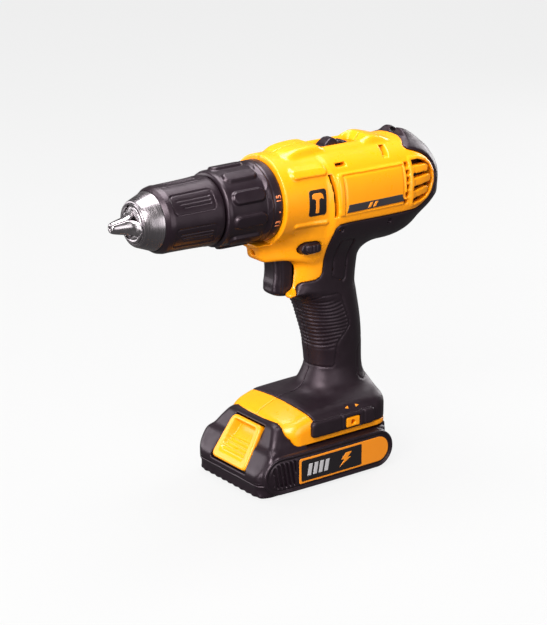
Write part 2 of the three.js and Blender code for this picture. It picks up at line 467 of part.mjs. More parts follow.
// ---------------------------------------------------------------- battery pack
const battery = new THREE.Group();
drill.add(battery);
// body outline seen from above
const packOuter = (z, x0, x1, b, n = 5) => secZ(z, x0, x1, b, n, 0, 16);
const baseOuter = loft([packOuter(0, -39.6, 59.0, 34.4, 6), packOuter(1.6, -41.6, 60.2, 36.0, 6), packOuter(9.0, -42.6, 60.4, 36.2, 6)]);
const topOuter = join(
  loft([packOuter(9.3, -42.6, 60.4, 36.2, 6), packOuter(23.4, -36.6, 60.4, 36.0, 6), packOuter(27.0, -34.0, 59.0, 33.6, 6)]),
  loft([
    packOuter(9.4, -42.8, -9, 33.4, 5), packOuter(20, -39.6, -9, 33.0, 5), packOuter(27.6, -34.8, -9.6, 32.4, 5),
  ]),
);
// nose block with the sloping front, ahead of the foot
const noseBlock = cut(
  loft([packOuter(26, -36.6, -8, 31.4, 4), packOuter(33, -32.2, -8, 29.4, 4), packOuter(39.6, -27.0, -8, 26.0, 4), packOuter(42.0, -24.4, -8, 23.6, 4)]),
  foot(-0.4).intersect(box(-60, 80, -60, 60, 27.9, 60)),
);
const tower = box(-7.5, 52, -24, 24, 26.5, 32.8);
const rails = box(-7.5, 56, -29.4, 29.4, 29.6, 32.8);
const stadium = (x0, x1, z0, z1) => {
  const r = (z1 - z0) / 2, pts = [];
  for (let i = 0; i <= 6; i++) { const a = -Math.PI / 2 + (Math.PI * i) / 6; pts.push([x1 - r + r * Math.cos(a), z0 + r + r * Math.sin(a)]); }
  for (let i = 0; i <= 6; i++) { const a = Math.PI / 2 + (Math.PI * i) / 6; pts.push([x0 + r + r * Math.cos(a), z0 + r + r * Math.sin(a)]); }
  return pts;
};
const padY = BATTERY_W / 2;
const sidePads = [-1, 1].map((s) => slab(stadium(-41.8, 61.0, 1.0, 26.0), s > 0 ? 33.5 : -padY, s > 0 ? padY : -33.5));
const above = box(-80, 80, -50, 50, 9.3, 60), below = box(-80, 80, -50, 50, -5, 9.0);
const cellRoom = [];
const cellX = [0, 1, 2, 3, 4].map((i) => -26.4 + 18.8 * i);
const CELL_Z = 12.4;
for (const x of cellX) cellRoom.push(rod([x, -CELL_L / 2 - 0.4, CELL_Z], [x, CELL_L / 2 + 0.4, CELL_Z], CELL_R + 0.25, 16));
cellRoom.push(box(cellX[0], cellX[4], -CELL_L / 2 - 0.4, CELL_L / 2 + 0.4, 8.0, 17.0));
const boardRoom = box(-6.4, 50.8, -22.8, 22.8, 17, 31.2);
// The latch leans on the sloping nose and hinges on its lower edge; its room opens forwards.
const wedge = (wTop, wLow, outTop, outLow, inTop, inLow) => loft([outTop, inTop].length && [
  [[outTop[0], -wTop, outTop[1]], [outTop[0], wTop, outTop[1]], [inTop[0], wTop, inTop[1]], [inTop[0], -wTop, inTop[1]]],
  [[outLow[0], -wLow, outLow[1]], [outLow[0], wLow, outLow[1]], [inLow[0], wLow, inLow[1]], [inLow[0], -wLow, inLow[1]]],
]);
const latchRoom = join(
  wedge(15.3, 18.5, [-31.0, 44.6], [-48.0, 14.4], [-18.2, 33.6], [-39.4, 11.6]),
  box(-32, -24.4, -8, 8, 23.4, 30),
);
let topCase = cut(join(topOuter, noseBlock, tower, rails, sidePads).intersect(above), cellRoom, boardRoom, latchRoom, [-9, 0, 9].map((y) => box(-1.5, 58, y - 0.9, y + 0.9, 29.9, 34)));
part("battery_case_top", biggest(topCase), BLACK, battery);
part("battery_case_base", biggest(cut(join(baseOuter, sidePads).intersect(below), cellRoom)), BLACK, battery);
cellX.forEach((x, i) => part("battery_cell_" + (i + 1), rod([x, -CELL_L / 2, CELL_Z], [x, CELL_L / 2, CELL_Z], CELL_R - 0.1, 16), CELL, battery));
part("battery_board", join(box(-5.8, 50.2, -22.2, 22.2, 22.4, 24.0), box(-2, 20, -12, 12, 23.8, 29.6)), GREEN, battery);
// latch button with the finger pocket
const latch = cut(
  wedge(14.9, 18.1, [-27.8, 40.4], [-43.9, 14.6], [-22.6, 36.6], [-39.9, 12.4]),
  wedge(9.6, 12.6, [-31.6, 38.6], [-44.6, 20.4], [-26.6, 34.2], [-38.6, 19.0]),
);
part("battery_latch", latch, YELLOW, battery);
part("latch_spring", slab([[-28.0, 24.0], [-24.9, 24.0], [-24.9, 24.7], [-27.3, 24.7], [-27.1, 28.4], [-27.8, 28.4]], -6.5, 6.5), STEEL, battery);
// Terminal block of the tool, inside the foot above the pack.
part("terminal_block", join(box(-4, 30, -12.6, 12.6, 37.4, 46.4), box(0, 27, -9.4, -8.6, 30.2, 37.6), box(0, 27, 8.6, 9.4, 30.2, 37.6), box(0, 27, -0.4, 0.4, 30.2, 37.6)), BLACK);

export default drill;
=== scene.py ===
import math

import bpy
import numpy as np
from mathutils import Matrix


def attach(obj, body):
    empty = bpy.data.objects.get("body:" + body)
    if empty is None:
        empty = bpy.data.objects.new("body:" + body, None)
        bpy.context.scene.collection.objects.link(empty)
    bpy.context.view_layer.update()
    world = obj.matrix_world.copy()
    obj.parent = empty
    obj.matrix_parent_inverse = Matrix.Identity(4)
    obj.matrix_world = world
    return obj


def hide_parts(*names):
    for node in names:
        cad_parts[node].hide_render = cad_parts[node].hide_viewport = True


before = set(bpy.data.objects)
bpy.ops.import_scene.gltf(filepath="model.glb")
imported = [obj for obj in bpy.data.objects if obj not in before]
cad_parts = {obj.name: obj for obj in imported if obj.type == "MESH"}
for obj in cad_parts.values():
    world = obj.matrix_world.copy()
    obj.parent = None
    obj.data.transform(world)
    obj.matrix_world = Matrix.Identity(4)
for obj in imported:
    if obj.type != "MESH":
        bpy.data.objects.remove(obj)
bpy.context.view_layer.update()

import openvdb as vdb
from mathutils import Vector

SHIFT = 5.2  # mm, from the drawing frame used below to the row frame
AX = 182.0  # mm, height of the spindle axis
f32 = np.float32
rng = np.random.default_rng(7)


# ================================================================ field helpers (millimetres)
def sstep(a, b, x):
    t = np.clip((x - a) / (b - a), 0, 1)
    return t * t * (3 - 2 * t)


def smin(a, b, k):
    h = np.maximum(k - np.abs(a - b), 0) / k
    return np.minimum(a, b) - h * h * k * 0.25


def smax(a, b, k):
    return -smin(-a, -b, k)


def curve(x, xs, ys):
    """Smooth interpolation through points (monotone cubic)."""
    xs = np.asarray(xs, float)
    ys = np.asarray(ys, float)
    d = np.diff(ys) / np.diff(xs)
    m = np.zeros_like(ys)
    m[0], m[-1] = d[0], d[-1]
    for i in range(1, len(ys) - 1):
        m[i] = 0 if d[i - 1] * d[i] <= 0 else 2 * d[i - 1] * d[i] / (d[i - 1] + d[i])
    x = np.clip(x, xs[0], xs[-1])
    i = np.clip(np.searchsorted(xs, x) - 1, 0, len(xs) - 2)
    h = xs[i + 1] - xs[i]
    t = (x - xs[i]) / h
    return ((1 + 2 * t) * (1 - t) ** 2 * ys[i] + t * (1 - t) ** 2 * h * m[i] + t * t * (3 - 2 * t) * ys[i + 1] + t * t * (t - 1) * h * m[i + 1]).astype(f32)


def rrect(px, pz, x0, x1, z0, z1, r):
    qx = np.abs(px - (x0 + x1) / 2) - (x1 - x0) / 2 + r
    qz = np.abs(pz - (z0 + z1) / 2) - (z1 - z0) / 2 + r
    return np.minimum(np.maximum(qx, qz), 0) + np.hypot(np.maximum(qx, 0), np.maximum(qz, 0)) - r


def seg(px, pz, ax, az, bx, bz):
    vx, vz = bx - ax, bz - az
    t = np.clip(((px - ax) * vx + (pz - az) * vz) / (vx * vx + vz * vz), 0, 1)
    return np.hypot(px - ax - t * vx, pz - az - t * vz)


def poly(px, pz, pts):
    """Signed distance to a closed outline, negative inside."""
    px, pz = np.broadcast_arrays(px, pz)
    inside = np.zeros(px.shape, bool)
    d = np.full(px.shape, 1e9, f32)
    n = len(pts)
    for i in range(n):
        ax, az = pts[i]
        bx, bz = pts[(i + 1) % n]
        d = np.minimum(d, seg(px, pz, ax, az, bx, bz))
        if az != bz:
            inside ^= ((az > pz) != (bz > pz)) & (px < (bx - ax) * (pz - az) / (bz - az) + ax)
    return np.where(inside, -d, d).astype(f32)


def line_groove(d, depth, width):
    """Depth of a narrow rounded groove along a zero line."""
    return depth * np.exp(-(d / width) ** 2)


def cyl_x(y, z, r, zc=AX, yc=0.0):
    return np.hypot(y - yc, z - zc) - r


def box3(x, y, z, x0, x1, y0, y1, z0, z1):
    return np.maximum(np.maximum(np.abs(x - (x0 + x1) / 2) - (x1 - x0) / 2, np.abs(y - (y0 + y1) / 2) - (y1 - y0) / 2), np.abs(z - (z0 + z1) / 2) - (z1 - z0) / 2)


# ================================================================ meshing
def keep_big(nv, faces, share=0.02):
    """Index of the faces that belong to the larger connected bodies."""
    lab = np.arange(nv)
    e = np.concatenate([faces[:, [i, (i + 1) % faces.shape[1]]] for i in range(faces.shape[1])])
    for _ in range(400):
        m = np.minimum(lab[e[:, 0]], lab[e[:, 1]])
        new = lab.copy()
        np.minimum.at(new, e[:, 0], m)
        np.minimum.at(new, e[:, 1], m)
        new = new[new]
        new = new[new]
        if (new == lab).all():
            break
        lab = new
    fl = lab[faces[:, 0]]
    u, c = np.unique(fl, return_counts=True)
    good = set(u[c >= max(share * len(faces), 12)])
    return np.isin(fl, list(good))


def make_mesh(name, P, F, material, smooth=True):
    me = bpy.data.meshes.new(name)
    P = np.ascontiguousarray(P, dtype=np.float32)
    F = np.ascontiguousarray(F, dtype=np.int32)
    me.vertices.add(len(P))
    me.vertices.foreach_set("co", P.ravel())
    me.loops.add(F.size)
    me.loops.foreach_set("vertex_index", F.ravel())
    me.polygons.add(len(F))
    me.polygons.foreach_set("loop_start", np.arange(0, F.size, F.shape[1], dtype=np.int32))
    me.polygons.foreach_set("use_smooth", np.full(len(F), smooth, bool))
    me.update(calc_edges=True)
    me.validate()
    if material is not None:
        me.materials.append(material)
    o = bpy.data.objects.new(name, me)
    bpy.context.scene.collection.objects.link(o)
    return o


REPORT = []


def mesh_field(name, d, lo, h, material, flip_y=False, share=0.02):
    """A closed mesh where the sampled field is negative."""
    d = np.array(d, dtype=f32)
    band = 3.0 * h
    np.clip(d, -band, band, out=d)
    for a in (d, d.transpose(1, 0, 2), d.transpose(2, 0, 1)):
        a[0] = band
        a[-1] = band
    if flip_y:
        d = np.ascontiguousarray(d[:, ::-1, :])
    g = vdb.FloatGrid(band)
    g.copyFromArray(d)
    g.gridClass = vdb.GridClass.LEVEL_SET
    P, T, Q = g.convertToPolygons(isovalue=0.0, adaptivity=0.0)
    P = P.astype(np.float64) * h
    if flip_y:
        P[:, 1] = -((d.shape[1] - 1) * h + lo[1]) + P[:, 1]
        P[:, 0] += lo[0]
        P[:, 2] += lo[2]
    else:
        P += np.array(lo)
    Q = Q[:, ::-1].astype(np.int64)
    ok = keep_big(len(P), Q, share)
    Q = Q[ok]
    used = np.unique(Q)
    remap = np.zeros(len(P), np.int64)
    remap[used] = np.arange(len(used))
    P, Q = P[used], remap[Q]
    P[:, 0] += SHIFT
    REPORT.append((name, len(Q)))
    return make_mesh(name, P / 1000.0, Q, material)


def grid(lo, hi, h):
    n = [int(math.ceil((b - a) / h)) + 1 for a, b in zip(lo, hi)]
    return (
        (lo[0] + h * np.arange(n[0])).astype(f32)[:, None, None],
        (lo[1] + h * np.arange(n[1])).astype(f32)[None, :, None],
        (lo[2] + h * np.arange(n[2])).astype(f32)[None, None, :],
    )


def piece(name, fn, lo, hi, h, material, body, nodes=(), share=0.02):
    x, y, z = grid(lo, hi, h)
    d = fn(x, y, z)
    d = np.broadcast_to(d, (x.shape[0], y.shape[1], z.shape[2]))
    o = mesh_field(name, d, lo, h, material, share=share)
    own(o, body, nodes)
    return o


def own(o, body, nodes=()):
    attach(o, body)
    if nodes:
        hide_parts(*nodes)


def ring(name, profile, n, shape, material, body, nodes=(), closed=True, smooth_angle=32):
    """A body turned about the spindle axis. profile: (x, radius, outer?) points of a closed loop; shape(x, theta) is
    added to the radius of the points marked outer. theta is measured about +X from +Z."""
    xs, rs, fs = [], [], []
    m = len(profile)
    for i in range(m):
        x0, r0, f0 = profile[i]
        x1, r1, f1 = profile[(i + 1) % m]
        L = math.hypot(x1 - x0, r1 - r0)
        step = (0.5) if (f0 and f1) else 3.0
        k = max(1, int(round(L / step)))
        for j in range(k):
            t = j / k
            xs.append(x0 + (x1 - x0) * t)
            rs.append(r0 + (r1 - r0) * t)
            fs.append(f0 + (f1 - f0) * t)
    xs, rs, fs = np.array(xs), np.array(rs), np.array(fs, float)
    th = np.linspace(0, 2 * np.pi, n, endpoint=False)
    X = xs[:, None] + 0 * th[None]
    R = rs[:, None] + fs[:, None] * shape(X, th[None] + 0 * xs[:, None])
    P = np.stack([X + SHIFT, R * np.sin(th)[None], AX + R * np.cos(th)[None]], -1).reshape(-1, 3) / 1000.0
    i = np.arange(len(xs))[:, None]
    j = np.arange(n)[None]
    i2, j2 = (i + 1) % len(xs), (j + 1) % n
    F = np.stack([i * n + j, i2 * n + j, i2 * n + j2, i * n + j2], -1).reshape(-1, 4)
    # outward: check the signed volume
    a, b, c, d = (P[F[:, k]] for k in range(4))
    vol = (np.einsum("ij,ij->i", a, np.cross(b, c)) + np.einsum("ij,ij->i", a, np.cross(c, d))).sum()
    if vol < 0:
        F = F[:, ::-1]
    REPORT.append((name, len(F)))
    o = make_mesh(name, P, F, material)
    sharpen(o, smooth_angle)
    own(o, body, nodes)
    return o


def sharpen(o, angle):
    """Marks edges sharper than the angle, so that flat faces stay crisp."""
    me = o.data
    if angle >= 90:
        return
    me.set_sharp_from_angle(angle=math.radians(angle))


# ================================================================ materials
class Nodes:
    def __init__(self, name, color, rough, metal=0.0):
        self.m = bpy.data.materials.new(name)
        self.m.use_nodes = True
        self.t = self.m.node_tree
        self.b = self.t.nodes["Principled BSDF"]
        self.b.inputs["Metallic"].default_value = metal
        self.b.inputs["Roughness"].default_value = rough
        self.b.inputs["Base Color"].default_value = (*color, 1)
        self.co = self.t.nodes.new("ShaderNodeTexCoord").outputs["Object"]

    def new(self, kind, **kw):
        n = self.t.nodes.new(kind)
        for k, v in kw.items():
            setattr(n, k, v)
        return n

    def link(self, a, b):
        self.t.links.new(a, b)

    def noise(self, scale, detail=3.0, rough=0.55, stretch=None):
        n = self.new("ShaderNodeTexNoise")
        n.inputs["Scale"].default_value = scale
        n.inputs["Detail"].default_value = detail
        n.inputs["Roughness"].default_value = rough
        src = self.co
        if stretch:
            mp = self.new("ShaderNodeMapping")
            mp.inputs["Scale"].default_value = stretch
            self.link(src, mp.inputs["Vector"])
            src = mp.outputs["Vector"]
        self.link(src, n.inputs["Vector"])
        return n.outputs["Fac"]

    def ramp(self, fac, lo, hi, a=0.3, b=0.7):
        r = self.new("ShaderNodeMapRange")
        r.inputs["From Min"].default_value = a
        r.inputs["From Max"].default_value = b
        r.inputs["To Min"].default_value = lo
        r.inputs["To Max"].default_value = hi
        self.link(fac, r.inputs["Value"])
        return r.outputs["Result"]

    def mix(self, fac, c0, c1):
        x = self.new("ShaderNodeMix", data_type="RGBA")
        if isinstance(fac, float):
            x.inputs["Factor"].default_value = fac
        else:
            self.link(fac, x.inputs["Factor"])
        for i, c in ((6, c0), (7, c1)):
            if isinstance(c, tuple):
                x.inputs[i].default_value = (*c, 1)
            else:
                self.link(c, x.inputs[i])
        return x.outputs[2]

    def bump(self, height, strength, distance):
        b = self.new("ShaderNodeBump")
        b.inputs["Strength"].default_value = strength
        b.inputs["Distance"].default_value = distance
        self.link(height, b.inputs["Height"])
        self.link(b.outputs["Normal"], self.b.inputs["Normal"])


def plastic(name, light, dark, rough, grain=900.0, bump=0.12, spread=0.07, coat=0.0, wear=None, spec=0.5, tint=None):
    """Moulded plastic: fine spark-eroded grain, slow colour drift, scuffed gloss."""
    n = Nodes(name, light, rough)
    slow = n.noise(26.0, 3.0)
    fine = n.noise(grain, 2.0, 0.6)
    col = n.mix(n.ramp(slow, 0.0, 1.0), light, dark)
    if wear is not None:
        # handling wear: pale rubbing on the convex edges
        g = n.new("ShaderNodeNewGeometry")
        edge = n.ramp(g.outputs["Pointiness"], 0.0, 1.0, 0.535, 0.62)
        patch = n.ramp(n.noise(60.0, 4.0), 0.0, 1.0, 0.45, 0.75)
        mul = n.new("ShaderNodeMath", operation="MULTIPLY")
        n.link(edge, mul.inputs[0])
        n.link(patch, mul.inputs[1])
        col = n.mix(mul.outputs[0], col, wear)
    n.link(col, n.b.inputs["Base Color"])
    scuff = n.noise(140.0, 4.0, 0.65)
    n.link(n.ramp(scuff, rough - spread, rough + spread, 0.3, 0.7), n.b.inputs["Roughness"])
    n.bump(fine, bump, 0.00012)
    n.b.inputs["Coat Weight"].default_value = coat
    n.b.inputs["Coat Roughness"].default_value = 0.18
    n.b.inputs["Specular IOR Level"].default_value = spec
    if tint is not None:
        n.b.inputs["Specular Tint"].default_value = (*tint, 1)
    return n.m


def steel(name, light, dark, rough, stretch, bump=0.25):
    """Turned or brushed steel: fine lines, oily dark drift."""
    n = Nodes(name, light, rough, 1.0)
    lines = n.noise(1.0, 3.0, 0.6, stretch)
    slow = n.noise(55.0, 3.0)
    n.link(n.mix(n.ramp(slow, 0.0, 1.0), light, dark), n.b.inputs["Base Color"])
    n.link(n.ramp(lines, rough - 0.07, rough + 0.1, 0.35, 0.65), n.b.inputs["Roughness"])
    n.bump(lines, bump, 0.00008)
    return n.m


YELLOW = plastic("yellow_plastic", (0.98, 0.345, 0.003), (0.96, 0.315, 0.002), 0.30, 700.0, 0.05, 0.05, 0.10, None, 0.45)
MAUVE = (1.0, 0.80, 0.92)
RUBBER = plastic("soft_black_rubber", (0.0105, 0.0056, 0.0086), (0.0080, 0.0042, 0.0065), 0.44, 1500.0, 0.16, 0.07, 0.0, None, 0.45, MAUVE)
BLACK = plastic("black_plastic_satin", (0.0100, 0.0054, 0.0084), (0.0075, 0.0040, 0.0062), 0.35, 1100.0, 0.10, 0.06, 0.04, (0.05, 0.04, 0.048), 0.5, MAUVE)
GLOSS = plastic("black_plastic_gloss", (0.012, 0.0070, 0.0100), (0.009, 0.0052, 0.0075), 0.24, 900.0, 0.05, 0.05, 0.2, (0.05, 0.04, 0.048), 0.5, MAUVE)
ORANGE_PRINT = plastic("orange_print", (0.92, 0.30, 0.015), (0.86, 0.26, 0.010), 0.36, 900.0, 0.06, 0.05)
COPPER_PRINT = plastic("copper_print", (0.86, 0.27, 0.10), (0.74, 0.20, 0.07), 0.45, 900.0, 0.06, 0.05)
DARK_PRINT = plastic("dark_print", (0.007, 0.005, 0.006), (0.010, 0.007, 0.009), 0.30, 900.0, 0.04, 0.05, 0.2)
GREY_PRINT = plastic("grey_print", (0.030, 0.026, 0.030), (0.040, 0.036, 0.040), 0.32, 900.0, 0.04, 0.05, 0.1)
SILVER_PRINT = plastic("silver_print", (0.52, 0.50, 0.52), (0.46, 0.44, 0.46), 0.34, 900.0, 0.04, 0.05)
NOSE = steel("brushed_nose_steel", (0.36, 0.325, 0.345), (0.28, 0.25, 0.268), 0.27, (2600.0, 90.0, 90.0), 0.16)
BRIGHT = steel("polished_steel", (0.50, 0.46, 0.48), (0.40, 0.365, 0.385), 0.24, (300.0, 500.0, 500.0), 0.0)
STEEL = steel("machined_steel", (0.46, 0.42, 0.44), (0.38, 0.345, 0.365), 0.28, (1600.0, 120.0, 120.0), 0.06)
DARKSTEEL = steel("blackened_steel", (0.13, 0.13, 0.135), (0.08, 0.08, 0.085), 0.38, (900.0, 900.0, 900.0), 0.2)
GREASED = steel("greased_gear_steel", (0.40, 0.39, 0.35), (0.30, 0.28, 0.22), 0.24, (900.0, 500.0, 500.0), 0.2)
CASTING = steel("zinc_casting", (0.30, 0.30, 0.31), (0.22, 0.22, 0.23), 0.46, (500.0, 500.0, 500.0), 0.4)
COPPER = steel("copper_winding", (0.70, 0.32, 0.15), (0.45, 0.18, 0.08), 0.34, (1400.0, 300.0, 1400.0), 0.5)
CELL = plastic("cell_sleeve", (0.05, 0.22, 0.36), (0.04, 0.17, 0.30), 0.26, 500.0, 0.05, 0.04, 0.2)
BOARD = plastic("board_green", (0.02, 0.14, 0.06), (0.015, 0.10, 0.045), 0.4, 700.0, 0.2, 0.08)
LENS = plastic("lens_clear", (0.20, 0.16, 0.12), (0.14, 0.11, 0.08), 0.08, 300.0, 0.02, 0.02, 0.6)

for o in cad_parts.values():
    name = o.name
    if name in ("output_spindle", "motor_shaft", "spindle_bearing", "chuck_nut", "shift_fork", "clutch_spring", "latch_spring"):
        m = STEEL
    elif name.startswith("planet_") or name.startswith("ring_gear") or name.startswith("carrier") or name == "motor_pinion":
        m = GREASED
    elif name in ("motor_can", "clutch_nut", "chuck_screw"):
        m = DARKSTEEL
    elif name == "gearbox_case":
        m = CASTING
    elif name == "armature":
        m = COPPER
    elif name.startswith("battery_cell"):
        m = CELL
    elif name == "battery_board":
        m = BOARD
    elif name.startswith("housing_screw"):
        m = DARKSTEEL
    else:
        m = BLACK
    if not o.material_slots:
        o.data.materials.append(m)
    for s in o.material_slots:
        s.material = m


# ================================================================ housing
TAIL_Z = [150, 157, 161, 165, 168, 172, 176, 184, 190, 196, 200, 204, 208]
TAIL_S = [-10, -11, -9.6, -6.9, -5, -2.7, -2.4, -1, 0, 0.7, 2, 3.5, 5]
SIDE_ZONE = [
    (-60, 230), (86.8, 230), (86.0, 209.0), (82.6, 206.4), (80.4, 204.8), (81.8, 203.0), (86.2, 201.6), (91.6, 199.6), (97.2, 196.1), (100.9, 191.4),
    (102.8, 185.8), (102.5, 179.6), (99.8, 174.8), (95, 171), (89.2, 167.8), (83.4, 166.0), (60, 165.8), (28, 166.2), (22, 165.7), (19.6, 163.4),
    (18.7, 158), (18.4, 146), (18.4, 136), (17.9, 132.4), (16.4, 130.0), (13.4, 128.6), (8, 128.0), (5.0, 127.5), (3.0, 126.0), (1.7, 123.6), (0.6, 120.6), (-0.8, 118.2), (-3.0, 117.0), (-60, 117.0),
]
FOOT_ZONE = [(-60, 62), (-5.4, 62), (-5.0, 53), (-3.6, 48.6), (-0.6, 43.6), (1.2, 39.6), (1.9, 35.4), (3.2, 32.6), (6.5, 31.3), (90, 31.3), (90, 20), (-60, 20)]


def f_upper(x, y, z):
    w = curve(x, [-18.2, 8, 13, 18.5, 30, 80], [28.3, 28.8, 29.0, 31.0, 31.3, 31.3])
    h = curve(x, [-18.2, 2, 26, 80], [28.3, 28.4, 32.8, 32.8])
    zm = curve(x, [-18.2, 2, 26, 80, 118], [182, 182, 176.9, 176.9, 173.6])
    n = curve(x, [-18.2, 0, 24, 118], [2.0, 2.06, 2.5, 2.35])
    tail = np.maximum(x - 78.0 - curve(z, TAIL_Z, TAIL_S), 0) / 39.4
    a = (np.abs(y) / w) ** n
    b = (np.abs(z - zm) / h) ** n + tail**2.0
    rho = (a + b) ** (1 / n)
    return (rho - 1) * 30.0


def f_chin(x, y, z):
    side = np.abs(y) - curve(x, [-23.4, -20.5, -14, -4, 6], [7.4, 8.7, 11.2, 14.2, 16.6])
    prof = rrect(x, z, -23.0, 14, 143.5, 158.0, 4.6)
    return smax(prof, side, 3.4)


def f_grip(x, y, z):
    x0 = curve(z, [44, 58, 66, 82, 100, 112, 118, 121, 138, 158], [17, 18.4, 21.2, 19.4, 14.2, 9.4, 3.0, -1.4, 0.2, -10])
    x1 = curve(z, [44, 58, 66, 82, 100, 114, 121, 138, 158], [62, 60.6, 59.6, 58.8, 56.6, 53.4, 52.2, 53.4, 62])
    b = curve(z, [44, 58, 66, 82, 100, 114, 121, 138, 158], [20, 16.8, 15.8, 16.6, 17.6, 17.4, 17.4, 18.2, 22])
    n = curve(z, [44, 66, 100, 121, 158], [2.4, 2.3, 2.3, 2.7, 2.8])
    cx, a = (x0 + x1) / 2, (x1 - x0) / 2
    rho = ((np.abs(x - cx) / a) ** n + (np.abs(y) / b) ** n) ** (1 / n)
    d = (rho - 1) * (0.62 * b + 0.38 * a)
    # lip under the trigger
    lip = smax(seg(x, z, 5.0, 120.6, -3.0, 120.2) - 1.7, np.abs(y) - 14.6, 4.0)
    d = smin(d, lip, 5.0)
    return np.maximum(d, np.maximum(44 - z, z - 162))


def f_foot(x, y, z, grow=0.0):
    ay = np.abs(y)
    plan = rrect(x, ay, -22.4, 63.0, -33.4, 33.4, 12.5)
    top = z - curve(x, [-24, -18, -8, 2, 40, 63], [42.6, 44.6, 48.2, 50.6, 51.4, 51.0]) + 0.0042 * ay * ay
    front = (x + 22.6) * (-0.816) + (z - 39.6) * (-0.578)
    body = smax(plan, top, 7.5)
    body = smax(body, front, 3.0)
    return np.maximum(body, 28.2 - z) - grow


def f_island(x, y, z):
    plan = rrect(x, np.abs(y), -8.5, 76.5, -12.9, 12.9, 7.0)
    top = z - curve(x, [-9, -5, 4, 13, 18, 21.6, 23.6, 52, 55.0, 61, 71, 79], [207.6, 210.8, 212.8, 213.3, 213.0, 211.2, 210.2, 210.2, 211.8, 213.1, 211.0, 206.6])
    d = smax(plan, top, 5.0)
    return np.maximum(d, 195 - z)


def f_plain(x, y, z):
    """Outer form of the tool body, without the surface detail."""
    d = smin(f_upper(x, y, z), f_island(x, y, z), 2.6)
    d = smin(d, f_chin(x, y, z), 7.0)
    d = smin(d, f_grip(x, y, z), 8.0)
    d = smin(d, f_foot(x, y, z), 11.0)
    d = np.maximum(d, 28.2 - z)
    # flat nose behind the torque collar, and the room that the collar turns in
    d = np.maximum(d, -np.maximum(x + 18.2, 156.4 - z))
    clear = np.maximum(np.hypot(np.abs(y), z - AX) - 25.9, x + 18.2)
    return np.maximum(d, -clear)


PANEL_UP = [(26.6, 153.0), (28.2, 154.4), (36.4, 153.2), (38.0, 151.4), (36.6, 126.0), (34.6, 124.2), (27.6, 127.0), (26.0, 129.0)]
PANEL_GRIP = [(8.5, 113), (18.9, 116.8), (30.6, 116.6), (33.8, 114.2), (40.2, 97.4), (40.2, 93.6), (33.0, 84.6), (31.8, 81.6), (31.2, 68.4), (29.8, 66.6), (10, 66.6), (0, 90)]
PANEL_REAR = [(56.8, 82.0), (54.4, 81.4), (49.6, 77.2), (48.6, 74.6), (48.8, 58.6), (50.2, 56.0), (53.4, 54.0), (60, 55), (64, 70), (62, 82)]


def side_relief(x, z):
    """Raised (+) and sunk (-) detail of the sides, as seen square on."""
    D = np.zeros(np.broadcast(x, z).shape, f32)
    # side panel: a raised field with a fine inner line
    field = rrect(x, z, 20.4, 73.6, 171.4, 197.2, 2.0)
    D = D + 1.0 * sstep(0.8, -0.8, field)
    inner = poly(x, z, [(24.6, 196.2), (72.4, 195.8), (72.0, 172.3), (24.6, 171.9)])
    D = D - line_groove(inner + 0.3, 0.8, 0.55) - 0.3 * sstep(0.2, -0.6, inner)
    # raised bar and lower ridge on the gear case
    D = D + 1.9 * sstep(1.0, -1.2, rrect(x, z, -10.8, 14.6, 197.8, 203.4, 2.6))
    D = D + 1.0 * sstep(0.9, -1.0, rrect(x, z, -9.8, 13.6, 167.0, 169.8, 1.3))
    # rim around the vents
    D = D + 0.5 * sstep(2.4, 0.8, np.abs(poly(x, z, VENT_D) - 0.6))
    return D


ROCKER = [(-1.4, 151.4), (-0.4, 149.2), (2.0, 147.8), (9.6, 147.8), (12.6, 149.0), (13.8, 151.6), (12.6, 154.2), (9.8, 155.4), (2.2, 155.4), (-0.2, 154.2)]
VENT_D = [(80.2, 197.4), (87, 197.0), (92.8, 195.2), (97.0, 191.8), (99.3, 187.2), (99.3, 181.4), (96.8, 176.4), (92.2, 173.0), (86.4, 170.9), (79.2, 170.4)]
FINS = [(191.3, 2.25, 95.2, -0.6), (183.8, 2.5, 97.0, 0.3), (176.2, 2.3, 94.0, 0.9)]
WINDOWS = [(76.0, 195.0, 1.5), (75.8, 190.6, 1.5), (75.4, 186.1, 1.6), (74.8, 181.5, 1.6), (74.2, 176.9, 1.6), (73.2, 172.6, 1.5)]


def vent_cut(x, z):
    d = poly(x, z, VENT_D)
    fins = np.full(d.shape, 50.0, f32)
    for zc, r, xe, tilt in FINS:
        fins = np.minimum(fins, seg(x, z, 76.0, zc - tilt, xe - r, zc + tilt) - r)
    d = np.maximum(d, -fins)
    for cx, cz, hz in WINDOWS:
        d = np.minimum(d, rrect(x, z, cx - 1.55, cx + 1.55, cz - hz, cz + hz, 0.4))
    return d


def grip_relief(x, z):
    D = np.zeros(np.broadcast(x, z).shape, f32)
    D = D - line_groove(poly(x, z, PANEL_UP), 0.9, 0.55) - 0.25 * sstep(0.3, -0.5, poly(x, z, PANEL_UP))
    p = poly(x, z, PANEL_GRIP)
    D = D - line_groove(p, 0.6, 0.5) * sstep(6, 10, x)
    inside = sstep(-0.6, -2.2, p)
    wave = z + 0.9 * np.sin((x - 8.0) / 7.5) + 0.5 * np.sin((x + z) / 5.0)
    ridge = np.cos(wave * (2 * np.pi / 2.55))
    D = D + inside * sstep(78.0, 81.0, z) * sstep(116.5, 112.0, z + 0.25 * (x - 20)) * (0.30 * ridge - 0.35)
    D = D - line_groove(poly(x, z, PANEL_REAR), 0.5, 0.5)
    # crease under the trigger guard
    c = seg(x, z, -2, 102.6, 11, 101.2)
    D = D - line_groove(c, 0.45, 0.5) * sstep(14, 10, x)
    return D


def screw_axes():
    return [(66, 206.2, 14.6), (92, 157.4, 20.5), (44.2, 131, 11.0), (36, 66.0, 12.2), (52, 42.0, 25.6)]


